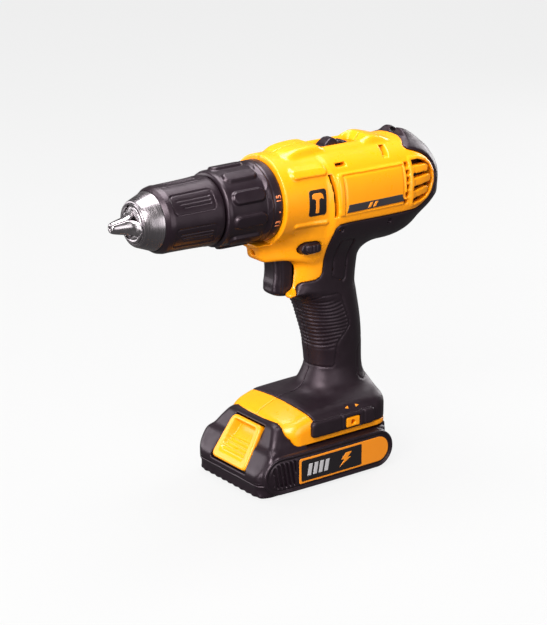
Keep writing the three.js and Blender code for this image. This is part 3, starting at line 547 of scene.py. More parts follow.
def housing_fields(x, y, z):
    """Hard yellow shell and soft black skin for y >= 0. Both are negative inside."""
    d0 = f_plain(x, y, z)
    zone = np.minimum(poly(x, z, SIDE_ZONE), poly(x, z, FOOT_ZONE))
    up_w = sstep(153, 158, z)
    side = side_relief(x, z) * up_w * sstep(9.0, 14.0, y)
    tail = (0.8 + 2.7 * sstep(198, 206.5, z) * sstep(103, 90, x) * sstep(15.0, 7.0, y)) * sstep(0.0, 2.2, poly(x, z, SIDE_ZONE)) * sstep(158, 170, z) * sstep(60, 76, x)
    gr = grip_relief(x, z) * sstep(52, 56, z) * (1 - sstep(153, 155.5, z))
    groove = line_groove(zone, 0.5, 0.42)
    rel = side + gr + tail - groove
    d = d0 - rel
    # finger dent on the tail cap
    dent = np.sqrt(((x - 94.0 - 0.9 * (209.0 - z)) / 6.2) ** 2 + ((y - 0.0) / 5.4) ** 2 + ((z - 209.4) / 3.4) ** 2)
    d = np.minimum(smax(d, -(dent - 1) * 2.6, 1.2), np.maximum(d, d0 + 1.0))
    d = smax(d, x - 115.4, 2.0)
    cuts = []
    # shallow slots
    sl = np.minimum(rrect(x, z, 22.7, 30.6, 200.6, 202.6, 0.3), poly(x, z, [(60.3, 201.0), (64.5, 201.0), (67.2, 206.8), (63.2, 207.2)]))
    sl = np.maximum(sl, -(d0 + 5.2))
    low = np.minimum(rrect(x, z, 22.2, 25.4, 160.4, 163.6, 0.4), rrect(x, z, 60.4, 63.4, 160.2, 163.2, 0.4))
    cuts.append(np.minimum(sl, np.maximum(low, -(d0 + 1.15))))
    cuts.append(np.maximum(vent_cut(x, z), 9.0 - y))
    gr_x = np.abs(x - (18.2 - 0.085 * (z - 184) - 0.5 * ((z - 184) / 13.0) ** 2)) - 1.35
    cuts.append(np.maximum(np.maximum(gr_x, np.abs(z - 184.4) - 13.2), np.maximum(-(d0 + 5.2), 12.0 - y)))
    # speed selector recess
    s = rrect(x, y, 23.8, 56.0, -6.3, 6.3, 1.6) - np.clip((z - 208.6) * 0.9, 0, 3.6)
    cuts.append(np.maximum(s, 204.75 - z))
    # through openings
    cuts.append(box3(x, y, z, -9, 9, -9.0, 9.0, 118.3, 143.4))
    cuts.append(np.maximum(poly(x, z, ROCKER) - 0.45, -y - 1))
    cuts.append(np.maximum(np.hypot(y, z - 149.2) - 1.85, x + 17.8))
    bay = np.minimum(np.minimum(box3(x, y, z, -34, 59.6, -30.2, 30.2, 29.3, 33.4), box3(x, y, z, -34, 59.6, -24.4, 24.4, 26, 29.4)), box3(x, y, z, -34, -8, -24, 24, 26, 38))
    cuts.append(bay)
    cuts.append(np.maximum(np.hypot(y, z - AX) - 21.2, x - 2.0))
    # the hollow inside
    cavity = d0 + 4.1
    keep = box3(x, y, z, 41.6, 60, -9, 9, 201.9, 208)
    cavity = np.maximum(cavity, -keep)
    # side pads that the belt hook bolts to
    pad = smax(rrect(x, z, -3.0, 47.4, 31.9, 42.4, 2.6), y - 35.9, 1.6)
    pad = np.maximum(pad, 30.2 - y)
    pad = pad + line_groove(np.abs(x - 20.6), 0.5, 0.45) * (y > 33) + line_groove(np.abs(x - 38.6), 0.5, 0.45) * (y > 33)
    window = rrect(x, z, 23.7, 35.3, 32.7, 39.9, 0.8)
    seat = smax(rrect(x, z, 24.0, 35.0, 33.0, 39.6, 0.9), y - 35.75, 0.7)
    seat = np.maximum(seat, 30.4 - y)
    hole = np.maximum(np.hypot(x - 29.5, z - 36.0) - 1.6, 29.5 - y)
    yz = np.minimum(np.maximum(d, zone + 0.12), d0 + 1.9)
    yz = np.maximum(yz, -cavity)
    for c in cuts:
        yz = np.maximum(yz, -c)
    yz = np.minimum(yz, np.maximum(seat, -hole))
    bz = np.maximum(np.maximum(d, -(zone - 0.12)), -(d0 + 1.55))
    bz = smin(bz, np.maximum(pad, -(d0 + 1.55)), 0.8)
    for c in cuts[:5] + [bay]:
        bz = np.maximum(bz, -c)
    bz = np.maximum(bz, -np.maximum(window, 28 - y))
    seam = 0.15 - y
    return np.maximum(yz, seam), np.maximum(bz, seam), d0


def housing():
    h = 0.6
    lo, hi = (-28.5, -0.9, 26.6), (117.5, 37.8, 214.6)
    x, y, z = grid(lo, hi, h)
    yz, bz, d0 = housing_fields(x, y, z)
    for side in ("right", "left"):
        a, b = yz, bz
        if side == "right":
            a, b = yz.copy(), bz.copy()
            for sx, sz, sy in screw_axes():
                r = np.hypot(x - sx, z - sz)
                boss = np.maximum(np.maximum(np.maximum(r - 5.0, y - sy), 0.15 - y), d0 + 1.9)
                a = np.minimum(a, boss)
                well = np.maximum(r - 3.5, sy - y)
                a = np.maximum(a, -well)
                b = np.maximum(b, -well)
        o = mesh_field("shell_" + side, a, lo, h, YELLOW, flip_y=side == "left")
        own(o, "body", ["housing_" + side])
        o = mesh_field("soft_grip_" + side, b, lo, h, RUBBER, flip_y=side == "left")
        own(o, "body", ["grip_overmould_" + side])


housing()


# painted shade: a near-black sheet just inside the wall behind the side vents, so that the vent gaps read dark; it is
# no part of the tool
def f_vent_shade_sheet(x, y, z):
    d0 = f_plain(x, y, z)
    d = np.maximum(d0 + 4.5, -(d0 + 5.9))
    return np.maximum(np.maximum(d, 9.5 - np.abs(y)), rrect(x, z, 68.0, 104.0, 166.5, 200.5, 3.0))


piece("vent_shade_sheet_left", f_vent_shade_sheet, (66, -30, 164), (106, -8, 203), 0.6, DARK_PRINT, "body")
piece("vent_shade_sheet_right", f_vent_shade_sheet, (66, 8, 164), (106, 30, 203), 0.6, DARK_PRINT, "body")


# ================================================================ controls
def f_trigger(x, y, z):
    ay = np.abs(y)
    front = curve(z, [118, 120, 122.6, 126.5, 131, 135, 139, 143.2], [-8.6, -10.7, -11.7, -11.6, -10.9, -10.7, -10.9, -11.2])
    # the finger face is hollow between two rounded flanks
    face = front - x + 0.42 * sstep(5.2, 2.0, ay) * sstep(121, 125, z) * sstep(143, 139, z)
    d = smax(face, ay - 8.4, 6.4)
    d = smax(d, 118.8 - z + 0.05 * np.maximum(-x - 4, 0), 2.6)
    d = np.maximum(d, np.maximum(z - 143.0, x - 1.0))
    # line that frames the finger face on the flank
    d = d + line_groove(x + 7.0 - 0.4 * np.sin((z - 121) / 6.5), 0.32, 0.42) * sstep(6.6, 7.8, ay)
    tongue = box3(x, y, z, 0.5, 5.4, -4, 4, 124, 138)
    return np.minimum(d, tongue)


def y_abs(y):
    return np.abs(y)


piece("trigger_lever", f_trigger, (-13.5, -9.6, 117.4), (7, 9.6, 144.2), 0.32, BLACK, "trigger_lever", ["trigger"])


def f_direction(x, y, z):
    ay = np.abs(y)
    hexa = poly(x, z, ROCKER)
    rim = smax(hexa, ay - 21.6, 0.8)
    pad = smax(rrect(x, z, 1.6, 12.6, 148.7, 154.4, 2.2), ay - curve(x, [0, 4.5, 9, 13], [22.6, 23.5, 23.9, 23.4]), 1.2)
    ribs = 0.16 * np.cos((x - 7.0) * 2 * np.pi / 2.6) * sstep(4.6, 3.8, np.abs(x - 7.0)) * sstep(2.4, 1.9, np.abs(z - 151.6)) * sstep(21.5, 22.5, ay)
    return np.minimum(rim, pad - ribs)


piece("direction_rocker", f_direction, (-2.6, -24.8, 146.6), (15.0, 24.8, 156.6), 0.32, BLACK, "direction", ["direction_button"])


def f_selector(x, y, z):
    ay = np.abs(y)
    plate = smax(rrect(x, ay, 27.2, 48.6, -5.4, 5.4, 1.0), np.abs(z - 206.7) - 1.8, 0.5)
    top = z - curve(x, [28.6, 31.4, 34.6, 37.0, 39.6, 42.6, 45.5, 47.6], [209.4, 211.6, 213.3, 213.3, 211.9, 210.8, 210.6, 209.8])
    loaf = smax(rrect(x, ay, 28.4, 47.6, -5.4, 5.4, 1.8), top, 1.6)
    loaf = smax(loaf, ay - curve(z, [207, 213.3], [5.4, 3.9]), 1.2)
    loaf = np.maximum(loaf, 206 - z)
    loaf = loaf + line_groove(np.abs(x - 39.8), 0.5, 0.5) * sstep(209, 211, z) + line_groove(np.abs(x - 44.0), 0.4, 0.45) * sstep(208, 210, z)
    return np.minimum(plate, loaf)


piece("speed_slider", f_selector, (26, -6.8, 204), (50, 6.8, 214.5), 0.24, BLACK, "speed_shift", ["speed_selector"])


def f_lens(x, y, z):
    r = np.hypot(y, z - 149.2)
    return smax(r - 1.5, np.maximum(-21.4 - x + 0.12 * r * r, x + 18.2), 0.5)


piece("work_light", f_lens, (-23.2, -2.6, 146.6), (-17.2, 2.6, 151.8), 0.2, LENS, "body", ["work_light_lens"])

for i, (sx, sz, sy) in enumerate(screw_axes()):

    def f_screw(x, y, z, sx=sx, sz=sz, y0=sy + 0.3):
        r = np.hypot(x - sx, z - sz)
        a = np.arctan2(z - sz, x - sx)
        head = smax(r - 3.0, np.abs(y - (y0 + 1.2)) - 1.2, 0.7)
        star = np.maximum(r - (1.25 + 0.22 * np.cos(6 * a)), y0 + 1.0 - y)
        shank = np.maximum(r - 1.5, np.maximum(-9 - y, y - y0 - 0.5))
        return np.minimum(np.maximum(head, -star), shank)

    piece("case_screw_%d" % (i + 1), f_screw, (sx - 4, -10, sz - 4), (sx + 4, sy + 4, sz + 4), 0.26, DARKSTEEL, "body", ["housing_screw_%d" % (i + 1)])


# ================================================================ torque collar
def arc(th, centre):
    return (th - centre + np.pi) % (2 * np.pi) - np.pi


def collar_shape(x, th):
    out = np.zeros(np.broadcast(x, th).shape)
    front = sstep(-57.2, -53.4, x) * sstep(-26.6, -29.0, x)
    out += -0.6 * front
    best = np.full(out.shape, 99.0)
    for k in range(10):
        a = 2 * np.pi * (k + 0.22) / 10
        s = arc(th, a) * 24.0
        d = rrect(x, s, -53.0, -29.6, -4.1, 4.1, 3.9)
        best = np.minimum(best, d)
    out += 1.75 * sstep(0.8, -1.0, best)
    # scalloped edge between the pads and the numbered flange
    ph = np.cos(10 * (th - 2 * np.pi * 0.22 / 10))
    edge = -27.2 - 1.5 * ph
    out += 0.25 * np.exp(-(((x - edge) / 0.7) ** 2))
    out -= 0.35 * np.exp(-(((x + 25.0) / 0.45) ** 2))
    return out * (x < -19.2)


ring(
    "clutch_collar",
    [(-57.0, 15.4, 0), (-57.0, 22.0, 0), (-56.2, 23.2, 1), (-54.2, 23.9, 1), (-28.6, 24.2, 1), (-26.0, 25.1, 1), (-19.4, 25.4, 1), (-18.6, 25.0, 1), (-18.6, 21.6, 0), (-21.0, 19.8, 0), (-50.0, 19.8, 0), (-53.4, 15.4, 0)],
    480, collar_shape, BLACK, "collar", ["torque_collar"], smooth_angle=70,
)


def digits(name, text, size, centre, x_mid, r, material):
    """A number printed on the flange, its top towards the chuck."""
    cu = bpy.data.curves.new(name, "FONT")
    cu.body = text
    cu.size = size
    cu.align_x = "CENTER"
    cu.align_y = "CENTER"
    cu.offset = 0.06
    tmp = bpy.data.objects.new(name + "_tmp", cu)
    bpy.context.scene.collection.objects.link(tmp)
    bpy.context.view_layer.update()
    me = bpy.data.meshes.new_from_object(tmp)
    bpy.data.objects.remove(tmp)
    me.name = name
    import bmesh

    bm = bmesh.new()
    bm.from_mesh(me)
    bmesh.ops.triangulate(bm, faces=bm.faces[:])
    bmesh.ops.remove_doubles(bm, verts=bm.verts[:], dist=0.001)
    bmesh.ops.subdivide_edges(bm, edges=[e for e in bm.edges if e.calc_length() > 0.8], cuts=1)
    bmesh.ops.triangulate(bm, faces=bm.faces[:])
    ret = bmesh.ops.extrude_face_region(bm, geom=bm.faces[:])
    top = [v for v in ret["geom"] if isinstance(v, bmesh.types.BMVert)]
    for v in bm.verts:
        v.co.z = -0.25
    for v in top:
        v.co.z = 0.07
    for v in bm.verts:
        u, w, d = v.co.x, v.co.y, v.co.z
        a = centre + u / r
        v.co = Vector(((x_mid - w + SHIFT) / 1000, (r + d) * math.sin(a) / 1000, (AX + (r + d) * math.cos(a)) / 1000))
    bmesh.ops.recalc_face_normals(bm, faces=bm.faces[:])
    bm.to_mesh(me)
    bm.free()
    me.materials.clear()
    me.materials.append(material)
    o = bpy.data.objects.new(name, me)
    bpy.context.scene.collection.objects.link(o)
    return o


# numbers and dots around the flange; the visible side is -Y, where "up" is towards smaller |angle|
marks = ["1", "3", "5", "7", "9", "11", "13", "15"]
objs = []
base_angle = -1.318
for i, t in enumerate(marks):
    a = base_angle - (len(marks) - 1 - i) * 0.646
    objs.append(digits("torque_number_" + t, t, 5.0, a, -21.3, 25.33, COPPER_PRINT))
for o in objs:
    own(o, "collar")


def dot(name, angle):
    n, rad = 20, 0.55
    import bmesh

    bm = bmesh.new()
    for layer, dd in ((0, -0.2), (1, 0.07)):
        for k in range(n):
            t = 2 * math.pi * k / n
            u, w = rad * math.cos(t), rad * math.sin(t)
            a = angle + u / 25.33
            bm.verts.new(((-21.0 + w + SHIFT) / 1000, (25.33 + dd) * math.sin(a) / 1000, (AX + (25.33 + dd) * math.cos(a)) / 1000))
    bm.verts.ensure_lookup_table()
    bm.faces.new([bm.verts[i] for i in range(n)])
    bm.faces.new([bm.verts[n + i] for i in range(n)][::-1])
    for i in range(n):
        j = (i + 1) % n
        bm.faces.new([bm.verts[i], bm.verts[n + i], bm.verts[n + j], bm.verts[j]])
    bmesh.ops.recalc_face_normals(bm, faces=bm.faces[:])
    me = bpy.data.meshes.new(name)
    bm.to_mesh(me)
    bm.free()
    me.materials.append(COPPER_PRINT)
    o = bpy.data.objects.new(name, me)
    bpy.context.scene.collection.objects.link(o)
    own(o, "collar")


for i in range(len(marks)):
    dot("torque_dot_%d" % (i + 1), base_angle - (len(marks) - 1 - i) * 0.646 - 0.33)


# ================================================================ chuck
def sleeve_shape(x, th):
    out = np.zeros(np.broadcast(x, th).shape)
    for k in range(6):
        a = 2 * np.pi * k / 6 + 0.10
        s = arc(th, a) * 21.0
        panel = rrect(x, s, -92.6, -63.8, -6.6, 6.6, 2.6)
        out -= 0.40 * sstep(0.3, -0.5, panel)
        out -= 0.40 * np.exp(-((panel / 0.4) ** 2))
        for off in (-2.4, 0.0, 2.4):
            lim = sstep(-88.0 - 0.8 * off, -87.0 - 0.8 * off, x) * sstep(-65.6, -66.6, x)
            out -= 0.50 * np.exp(-(((s - off) / 0.42) ** 2)) * lim
    return out * sstep(-95.5, -93.5, x) * sstep(-59.8, -61.5, x)


ring(
    "keyless_sleeve",
    [(-98.9, 18.25, 0), (-98.6, 18.5, 1), (-96.2, 20.0, 1), (-93.4, 20.6, 1), (-76, 21.0, 1), (-60.6, 21.6, 1), (-59.0, 21.5, 1), (-58.2, 20.9, 1), (-58.2, 19.8, 0), (-94.2, 19.8, 0), (-96.9, 18.2, 0)],
    480, sleeve_shape, BLACK, "sleeve", ["chuck_sleeve"], smooth_angle=70,
)
ring(
    "nose_cone",
    [(-110.4, 11.3, 0), (-110.6, 11.5, 0), (-110.6, 12.4, 0), (-110.1, 12.7, 0), (-110.1, 13.0, 0), (-109.9, 13.6, 0), (-109.0, 14.25, 0), (-99.6, 17.85, 0), (-99.0, 17.95, 0), (-97.4, 17.9, 0), (-97.4, 16.0, 0), (-105.6, 12.8, 0)],
    256, lambda x, th: 0.0 * x * th, NOSE, "spindle", ["nose_ring"], smooth_angle=16,
)

JA = math.radians(17)


def jaw_r(x, y, z, a, extra):
    """Distance to the inclined bar of a jaw."""
    px, py, pz = -126.0, 1.0 * math.sin(a), AX + 1.0 * math.cos(a)
    dx, dy, dz = math.cos(JA), math.sin(JA) * math.sin(a), math.sin(JA) * math.cos(a)
    t = (x - px) * dx + (y - py) * dy + (z - pz) * dz
    qx, qy, qz = x - px - t * dx, y - py - t * dy, z - pz - t * dz
    return np.sqrt(qx * qx + qy * qy + qz * qz) - (4.7 + extra), t


JAW_ANGLES = [0.35 + 2 * math.pi * k / 3 for k in range(3)]


def f_chuck(x, y, z):
    r = np.hypot(y, z - AX)
    prof = poly(x, r, [(-111.5, -2), (-111.5, 8.6), (-111.1, 9.0), (-111.1, 9.5), (-111.6, 9.8), (-111.4, 10.7), (-110.9, 11.05), (-106.4, 11.05), (-104.6, 11.4), (-100.6, 12.4), (-94, 15.0), (-78, 15.0), (-78, 13.4), (-61.4, 13.4), (-61.4, 19.4), (-58.6, 19.4), (-58.6, 11.6), (-56.2, 11.6), (-54.6, 9.0), (-54.6, -2)])
    d = prof
    for a in JAW_ANGLES:
        b, t = jaw_r(x, y, z, a, 0.3)
        d = np.maximum(d, -b)
    d = np.maximum(d, -np.maximum(r - 5.4, -75 - x))
    d = np.maximum(d, -np.maximum(r - 6.6, x + 80.5))
    return d


piece("chuck_core", f_chuck, (-113, -20.4, AX - 20.4), (-53.6, 20.4, AX + 20.4), 0.42, STEEL, "spindle", ["chuck_body"])

for k, a in enumerate(JAW_ANGLES):

    def f_jaw(x, y, z, a=a):
        d, t = jaw_r(x, y, z, a, 0.0)
        r = np.hypot(y, z - AX)
        u = y * math.sin(a) + (z - AX) * math.cos(a)
        v = y * math.cos(a) - (z - AX) * math.sin(a)
        # the 120 degree wedge that belongs to this jaw
        sector = np.abs(v) * 0.5 - u * 0.866 + 0.13
        tip = (r - curve(x, [-126, -125.5, -124.8, -114.6, -113.2, -111.2, -109, -60], [2.3, 2.9, 3.3, 5.9, 6.6, 9.0, 12.0, 40.0])) * 0.95
        d = smax(d, sector, 0.25)
        d = smax(d, tip, 0.4)
        d = smax(d, -126.0 - x, 0.4)
        d = np.maximum(d, np.maximum(t - 31.0, 0 * t - 9))
        # corner that clears the sleeve when the chuck is open
        ox, oy, oz = math.cos(JA) * 20, math.sin(JA) * math.sin(a) * 20, math.sin(JA) * math.cos(a) * 20
        clear = np.hypot(y + oy, z + oz - AX) - 18.7
        d = np.maximum(d, np.minimum(clear, 50) * (x > -112) + np.where(x > -112, 0, -9))
        return d

    lo = (-127, -14, AX - 14)
    hi = (-94, 14, AX + 14)
    piece("grip_jaw_%d" % (k + 1), f_jaw, lo, hi, 0.27, BRIGHT, "jaw_" + "abc"[k], ["jaw_%d" % (k + 1)])


# ================================================================ battery pack
SLOPE_N = (-0.826, 0.563)


def pack_slope(x, z, off=0.0):
    return (x + 43.0) * SLOPE_N[0] + (z - 13.7) * SLOPE_N[1] - off


def latch_local(x, z):
    """u runs down the slope from the latch's upper edge, w is out of the slope."""
    dx, dz = -16.1 / 30.41, -25.8 / 30.41
    u = (x + 27.8) * dx + (z - 40.4) * dz
    w = -((x + 27.8) * (-dz) * -1.0) * 1.0
    w = (x + 27.8) * dz + (z - 40.4) * (-dx)
    return u, w


def stadium(x, z, x0, x1, z0, z1, inset=0.0):
    r = (z1 - z0) / 2
    return seg(x, z, x0 + r, (z0 + z1) / 2, x1 - r, (z0 + z1) / 2) - r + inset


def pad_half(x):
    return curve(x, [-42, -30, -14, 8], [36.8, 37.2, 38.0, 38.4])


def pack_outer(x, y, z):
    ay = np.abs(y)
    body = smax(rrect(x, ay, -42.6, 60.4, -35.2, 35.2, 8.0), z - 27.0, 3.5)
    body = smax(body, pack_slope(x, z, 0.2), 2.0)
    body = smax(body, -z, 1.6)
    half = curve(z, [0, 12, 20, 27, 33, 38, 42.6], [34.9, 34.8, 34.4, 33.4, 30.8, 27.6, 23.8])
    nose = smax(smax(ay - half, pack_slope(x, z), 5.0), z - 42.3, 3.4)
    nose = np.maximum(nose, np.maximum(x + 8.0, 9 - z))
    nose = smax(nose, rrect(x, ay, -42.6, 60.4, -35.2, 35.2, 8.0), 1.0)
    nose = np.maximum(nose, -f_foot(x, y, z, 0.45) + 0 * x)
    d = smin(body, nose, 4.0)
    st = np.where(y > 0, stadium(x, z, -36.0, 61.0, 0.9, 26.2), stadium(x, z, -41.0, 61.0, 0.9, 26.2))
    face = pad_half(x)
    pad = smax(st, ay - face, 1.8)
    pad = np.maximum(pad, 30 - ay)
    groove = line_groove(st + 2.7, 1.1, 0.7) * sstep(-2.6, -1.6, ay - face)
    inner = 0.35 * sstep(-2.8, -3.4, st) * sstep(-2.6, -1.6, ay - face)
    ribs = sstep(-17.0, -17.6, x) * sstep(-34.6, -34.0, x) * sstep(-4.2, -4.8, st)
    xs = x + 0.18 * (z - 13.5)
    ribs = ribs * (1.1 * np.clip(np.cos(xs * 2 * np.pi / 3.1) * 1.6, -1, 1) - 0.45) * sstep(-2.6, -1.6, ay - face)
    pad = pad + groove + inner - ribs
    d = smin(d, pad, 0.7)
    # rear bumper nubs on the top edge
    nub = np.sqrt((x - 57.6) ** 2 + (ay - 29.0) ** 2 + (z - 26.6) ** 2) - 2.6
    d = smin(d, nub, 1.0)
    # scalloped lower edge at the front
    sc = 0.22 * np.cos(y * 2 * np.pi / 6.4) * sstep(2.8, 1.6, z) * sstep(-34, -38, x)
    d = d - sc
    # step line above the base
    band = z - (8.4 + 0.0022 * ay * ay)
    d = d + line_groove(band, 0.45, 0.5) * sstep(-34.0, -38.0, x) * sstep(33.0, 30.5, ay)
    return np.maximum(d, 0.03 - z)


def f_pack_top(x, y, z):
    ay = np.abs(y)
    d = pack_outer(x, y, z)
    tower = box3(x, y, z, -7.5, 52, -24, 24, 24, 32.8) + 0.3
    rails = box3(x, y, z, -7.5, 56, -29.4, 29.4, 29.6, 32.8)
    neck = box3(x, y, z, -7.5, 56, -24, 24, 26, 32.8)
    top = smax(np.minimum(rails, neck), z - 32.8, 0.8)
    d = np.minimum(d, top)
    inner = pack_outer_inner(x, y, z)
    d = np.maximum(d, -inner)
    d = np.maximum(d, -box3(x, y, z, -6.4, 50.8, -22.8, 22.8, 17, 31.2))
    for yy in (-9, 0, 9):
        d = np.maximum(d, -box3(x, y, z, -1.5, 58, yy - 0.95, yy + 0.95, 29.9, 34))
    u, w = latch_local(x, z)
    half = 15.3 + (18.5 - 15.3) * u / 30.4
    room = np.maximum(np.maximum(ay - half, -0.9 - u), np.maximum(u - 31.6, np.maximum(w - 12, -9.4 - w)))
    low = np.maximum(np.maximum(ay - half, pack_slope(x, z, -7.0) * -1.0), np.maximum(14.6 - z, -40.5 - x))
    d = np.maximum(d, -room)
    d = np.maximum(d, -box3(x, y, z, -32, -24.4, -8, 8, 23.4, 30))
    return np.maximum(d, pack_seam(ay) + 0.15 - z)


def pack_seam(ay):
    return curve(ay, [34.4, 36.4], [9.15, 0.4])


def pack_outer_inner(x, y, z):
    ay = np.abs(y)
    a = smax(rrect(x, ay, -37.4, 58.2, -33.7, 33.7, 7.0), z - 24.6, 2.0)
    a = np.maximum(a, 2.2 - z)
    return smax(a, pack_slope(x, z, -8.6), 1.0)


def f_pack_base(x, y, z):
    d = pack_outer(x, y, z)
    d = np.maximum(d, -pack_outer_inner(x, y, z))
    return np.maximum(d, z - pack_seam(np.abs(y)) + 0.15)


piece("pack_upper", f_pack_top, (-46, -39.4, -1.2), (62, 39.4, 43.6), 0.6, BLACK, "battery", ["battery_case_top"])
piece("pack_lower", f_pack_base, (-46, -39.4, -1.2), (62, 39.4, 10.2), 0.6, BLACK, "battery", ["battery_case_base"])


def f_latch(x, y, z):
    u, w = latch_local(x, z)
    ay = np.abs(y)
    half = 14.9 + (18.1 - 14.9) * u / 30.4
    plan = smax(ay - half, np.abs(u - 15.2) - 15.2, 4.2)
    depth = curve(u, [2.6, 3.8, 6.0, 11.0, 22.5, 26.0], [0.0, 4.6, 5.2, 4.5, 1.2, 0.0])
    pw = 9.9 + 2.6 * u / 30.4
    mask = sstep(pw + 1.3, pw - 1.5, ay)
    ridges = 0.55 * np.clip(np.cos((u - 14.0) * 2 * np.pi / 3.2), -0.4, 1.0) * sstep(12.4, 13.4, u) * sstep(24.4, 23.0, u)
    face = w + mask * (depth - ridges)
    d = smax(plan, face * 0.86, 1.5)
    return np.maximum(d, -6.1 - w)


piece("pack_latch", f_latch, (-50, -20, 9), (-17, 20, 44), 0.34, YELLOW, "latch", ["battery_latch"])


# ================================================================ printed and inlaid panels
def inlay(name, shape, outer, lo, hi, material, body, slot, h=0.24, out=0.12, thick=0.4):
    """A thin conforming panel: shape(x, z) is its outline, outer(x, y, z) the surface that it lies on."""

    def fn(x, y, z):
        s = outer(x, y, z)
        return np.maximum(shape(x, z) + 0 * y, np.maximum(s - out, -(s + thick)))

    return piece(name, fn, lo, hi, h, material, body, share=0.002)


def f_side(x, y, z):
    return f_plain(x, y, z) - side_relief(x, z) * sstep(9.0, 14.0, np.abs(y))


def badge(x, z):
    return rrect(x, z, -1.3, 11.6, 174.0, 190.5, 1.9)


def hammer(x, z):
    head = poly(x, z, [(0.9, 187.6), (2.4, 188.4), (7.0, 188.4), (8.8, 187.2), (9.6, 184.2), (8.2, 184.6), (7.4, 185.2), (6.8, 184.4), (2.8, 184.4), (2.2, 185.2), (0.9, 185.2)])
    shaft = rrect(x, z, 3.6, 6.1, 175.8, 185.5, 0.5)
    return np.minimum(head, shaft)


def stripe(x, z):
    return poly(x, z, [(25.6, 173.0), (71.2, 173.3), (69.6, 178.0), (27.0, 178.0)])


def stripe_accent(x, z):
    a = poly(x, z, [(41.6, 173.9), (43.8, 173.9), (46.0, 177.2), (43.8, 177.2)])
    b = poly(x, z, [(45.6, 173.9), (47.8, 173.9), (50.0, 177.2), (47.8, 177.2)])
    return np.minimum(a, b)


def both(name, shape, outer, x0, x1, y0, y1, z0, z1, *a, **k):
    inlay(name + "_left", shape, outer, (x0, -y1, z0), (x1, -y0, z1), *a, **k)
    inlay(name + "_right", shape, outer, (x0, y0, z0), (x1, y1, z1), *a, **k)


both("mode_badge", badge, f_side, -3, 13, 22, 31, 172.4, 192.4, DARK_PRINT, "body", "black_plastic", h=0.2, out=0.28, thick=0.8)
both("mode_badge_mark", hammer, f_side, -1, 11.5, 22, 31, 174, 190.4, ORANGE_PRINT, "body", "yellow_shell", h=0.18, out=0.44, thick=0.8)
both("side_stripe", stripe, f_side, 23, 73, 27, 34.4, 169.6, 178.4, GREY_PRINT, "body", "black_plastic", h=0.2, out=0.26, thick=0.8)
both("side_stripe_accent", stripe_accent, f_side, 40, 52, 27, 34.4, 171, 177.4, ORANGE_PRINT, "body", "yellow_shell", h=0.18, out=0.40, thick=0.8)


def f_pad_face(x, y, z):
    return np.abs(y) - pad_half(x) + 0.35 + 0 * z


def lab_outer(x, z):
    return rrect(x, z, -15.0, 56.4, 4.6, 22.4, 5.0)


def lab_shape(x, z):
    return smax(stadium(x, z, -41.8, 61.0, 0.9, 26.2, 4.2), -15.2 - x, 1.5)


def lab_dark(x, z):
    return smax(smax(lab_shape(x, z) + 1.3, x - 34.6, 0.8), -13.8 - x, 0.8)


both("pack_label", lab_shape, f_pad_face, -17, 60, 36.6, 38.9, 3, 24, ORANGE_PRINT, "battery", "yellow_shell", h=0.3, out=0.10, thick=0.5)
both("pack_label_field", lab_dark, f_pad_face, -16, 37, 36.6, 38.9, 4, 23, DARK_PRINT, "battery", "black_plastic", h=0.25, out=0.22, thick=0.5)


def lab_bars(x, z):
    d = np.full(np.broadcast(x, z).shape, 50.0, f32)
    for i in range(4):
        x0 = -9.0 + 4.4 * i
        d = np.minimum(d, poly(x, z, [(x0, 9.6), (x0 + 2.9, 9.6), (x0 + 4.3, 17.4), (x0 + 1.4, 17.4)]))
    return d


def lab_bolt(x, z):
    return poly(x, z, [(16.4, 9.2), (20.6, 13.6), (17.9, 13.9), (21.6, 17.9), (26.6, 17.9), (23.2, 14.6), (25.8, 14.3)])


both("pack_label_bars", lab_bars, f_pad_face, -12, 14, 36.6, 39.1, 8, 19, SILVER_PRINT, "battery", "steel", h=0.15, out=0.34, thick=0.6)
both("pack_label_bolt", lab_bolt, f_pad_face, 14, 29, 36.6, 39.1, 8, 19, ORANGE_PRINT, "battery", "yellow_shell", h=0.15, out=0.34, thick=0.6)


def f_foot_face(x, y, z):
    return f_plain(x, y, z)


def arrows(x, z):
    a = poly(x, z, [(25.6, 45.0), (28.4, 44.1), (28.4, 45.9)])
    b = poly(x, z, [(34.2, 44.1), (37.0, 45.0), (34.2, 45.9)])
    return np.minimum(a, b)


both("foot_arrows", arrows, f_foot_face, 24, 39, 26, 36, 43, 47.6, ORANGE_PRINT, "body", "yellow_shell", h=0.2, out=0.12)


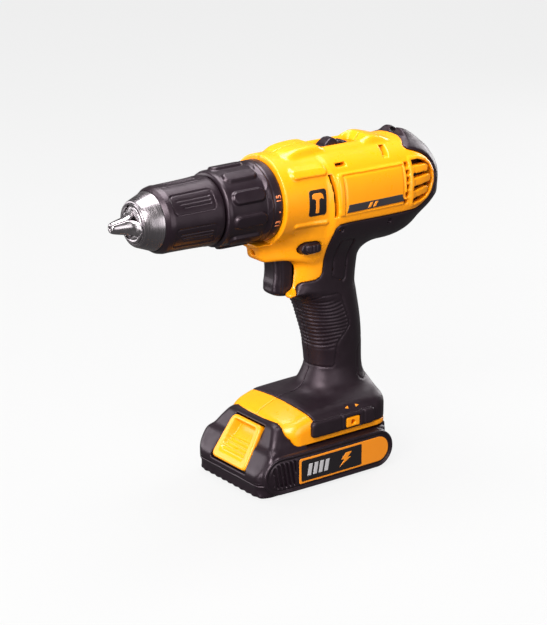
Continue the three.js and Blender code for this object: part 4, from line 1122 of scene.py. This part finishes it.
# ================================================================ studio
def studio():
    import bmesh

    floor_mat = Nodes("floor_paper", (0.92, 0.92, 0.92), 0.75)
    floor_mat.link(floor_mat.mix(floor_mat.ramp(floor_mat.noise(3.0, 2.0), 0.0, 1.0), (0.050, 0.050, 0.050), (0.047, 0.047, 0.047)), floor_mat.b.inputs["Base Color"])
    floor_mat.b.inputs["Specular IOR Level"].default_value = 0.15
    floor_mat.b.inputs["Emission Color"].default_value = (1, 1, 1, 1)
    floor_mat.b.inputs["Emission Strength"].default_value = 0.83
    me = bpy.data.meshes.new("studio_floor")
    bm = bmesh.new()
    n = 24
    vs = [[bm.verts.new((-14 + 28 * i / n, -14 + 28 * j / n, -0.0004)) for j in range(n + 1)] for i in range(n + 1)]
    for i in range(n):
        for j in range(n):
            bm.faces.new([vs[i][j], vs[i + 1][j], vs[i + 1][j + 1], vs[i][j + 1]])
    bm.to_mesh(me)
    bm.free()
    me.materials.append(floor_mat.m)
    floor = bpy.data.objects.new("studio_floor", me)
    bpy.context.scene.collection.objects.link(floor)
    # the pale floor is there for the eye: it doesn't light the object from below
    floor.visible_diffuse = False
    floor.visible_glossy = False

    def area(name, at, aim, size, power, color=(1, 1, 1), shape="SQUARE", size_y=None):
        li = bpy.data.lights.new(name, "AREA")
        li.energy = power
        li.color = color
        li.size = size
        if size_y:
            li.shape = "RECTANGLE"
            li.size_y = size_y
        o = bpy.data.objects.new(name, li)
        bpy.context.scene.collection.objects.link(o)
        o.location = at
        o.rotation_euler = (Vector(aim) - Vector(at)).to_track_quat("-Z", "Y").to_euler()
        return o

    c = (0.0, 0.0, 0.12)
    area("key_softbox", (-0.92, -0.58, 0.98), c, 0.80, 29.0, (1.0, 0.99, 0.97))
    area("left_strip", (-1.25, -0.15, 0.22), c, 0.35, 8.0, (1, 1, 1), size_y=0.9)
    area("far_left_panel", (-0.85, 1.10, 0.32), (-0.08, 0.0, 0.17), 0.9, 7.0, (1, 1, 1), size_y=0.7)
    area("front_fill", (0.10, -1.30, 0.35), c, 0.8, 6.0, (1, 1, 1))
    area("back_rim", (1.10, 0.35, 0.40), c, 0.30, 6.0, (1, 1, 1), size_y=0.8)
    area("top_panel", (0.05, 0.20, 1.20), c, 0.8, 20.0, (1, 1, 1))
    w = bpy.data.worlds.new("studio_world")
    w.use_nodes = True
    w.node_tree.nodes["Background"].inputs["Color"].default_value = (1.0, 1.0, 1.0, 1)
    w.node_tree.nodes["Background"].inputs["Strength"].default_value = 0.15
    bpy.context.scene.world = w

    cam = bpy.data.cameras.new("photo_camera")
    cam.sensor_fit = "AUTO"
    cam.sensor_width = 36.0
    cam.lens = 36.0 * 2012.17 / 625.0
    cam.clip_start = 0.05
    cam.clip_end = 60.0
    o = bpy.data.objects.new("photo_camera", cam)
    bpy.context.scene.collection.objects.link(o)
    a, e = math.radians(-36.92), math.radians(18.46)
    back = Vector((math.sin(a) * math.cos(e), -math.cos(a) * math.cos(e), math.sin(e)))
    o.location = (-0.72491 + SHIFT / 1000, -0.95540, 0.50590)
    o.rotation_euler = (-back).to_track_quat("-Z", "Y").to_euler()
    bpy.context.scene.camera = o
    bpy.context.scene.view_settings.view_transform = "Standard"
    bpy.context.scene.view_settings.look = "None"


studio()

for name, n in REPORT:
    print("faces", name, n)


bpy.context.view_layer.update()
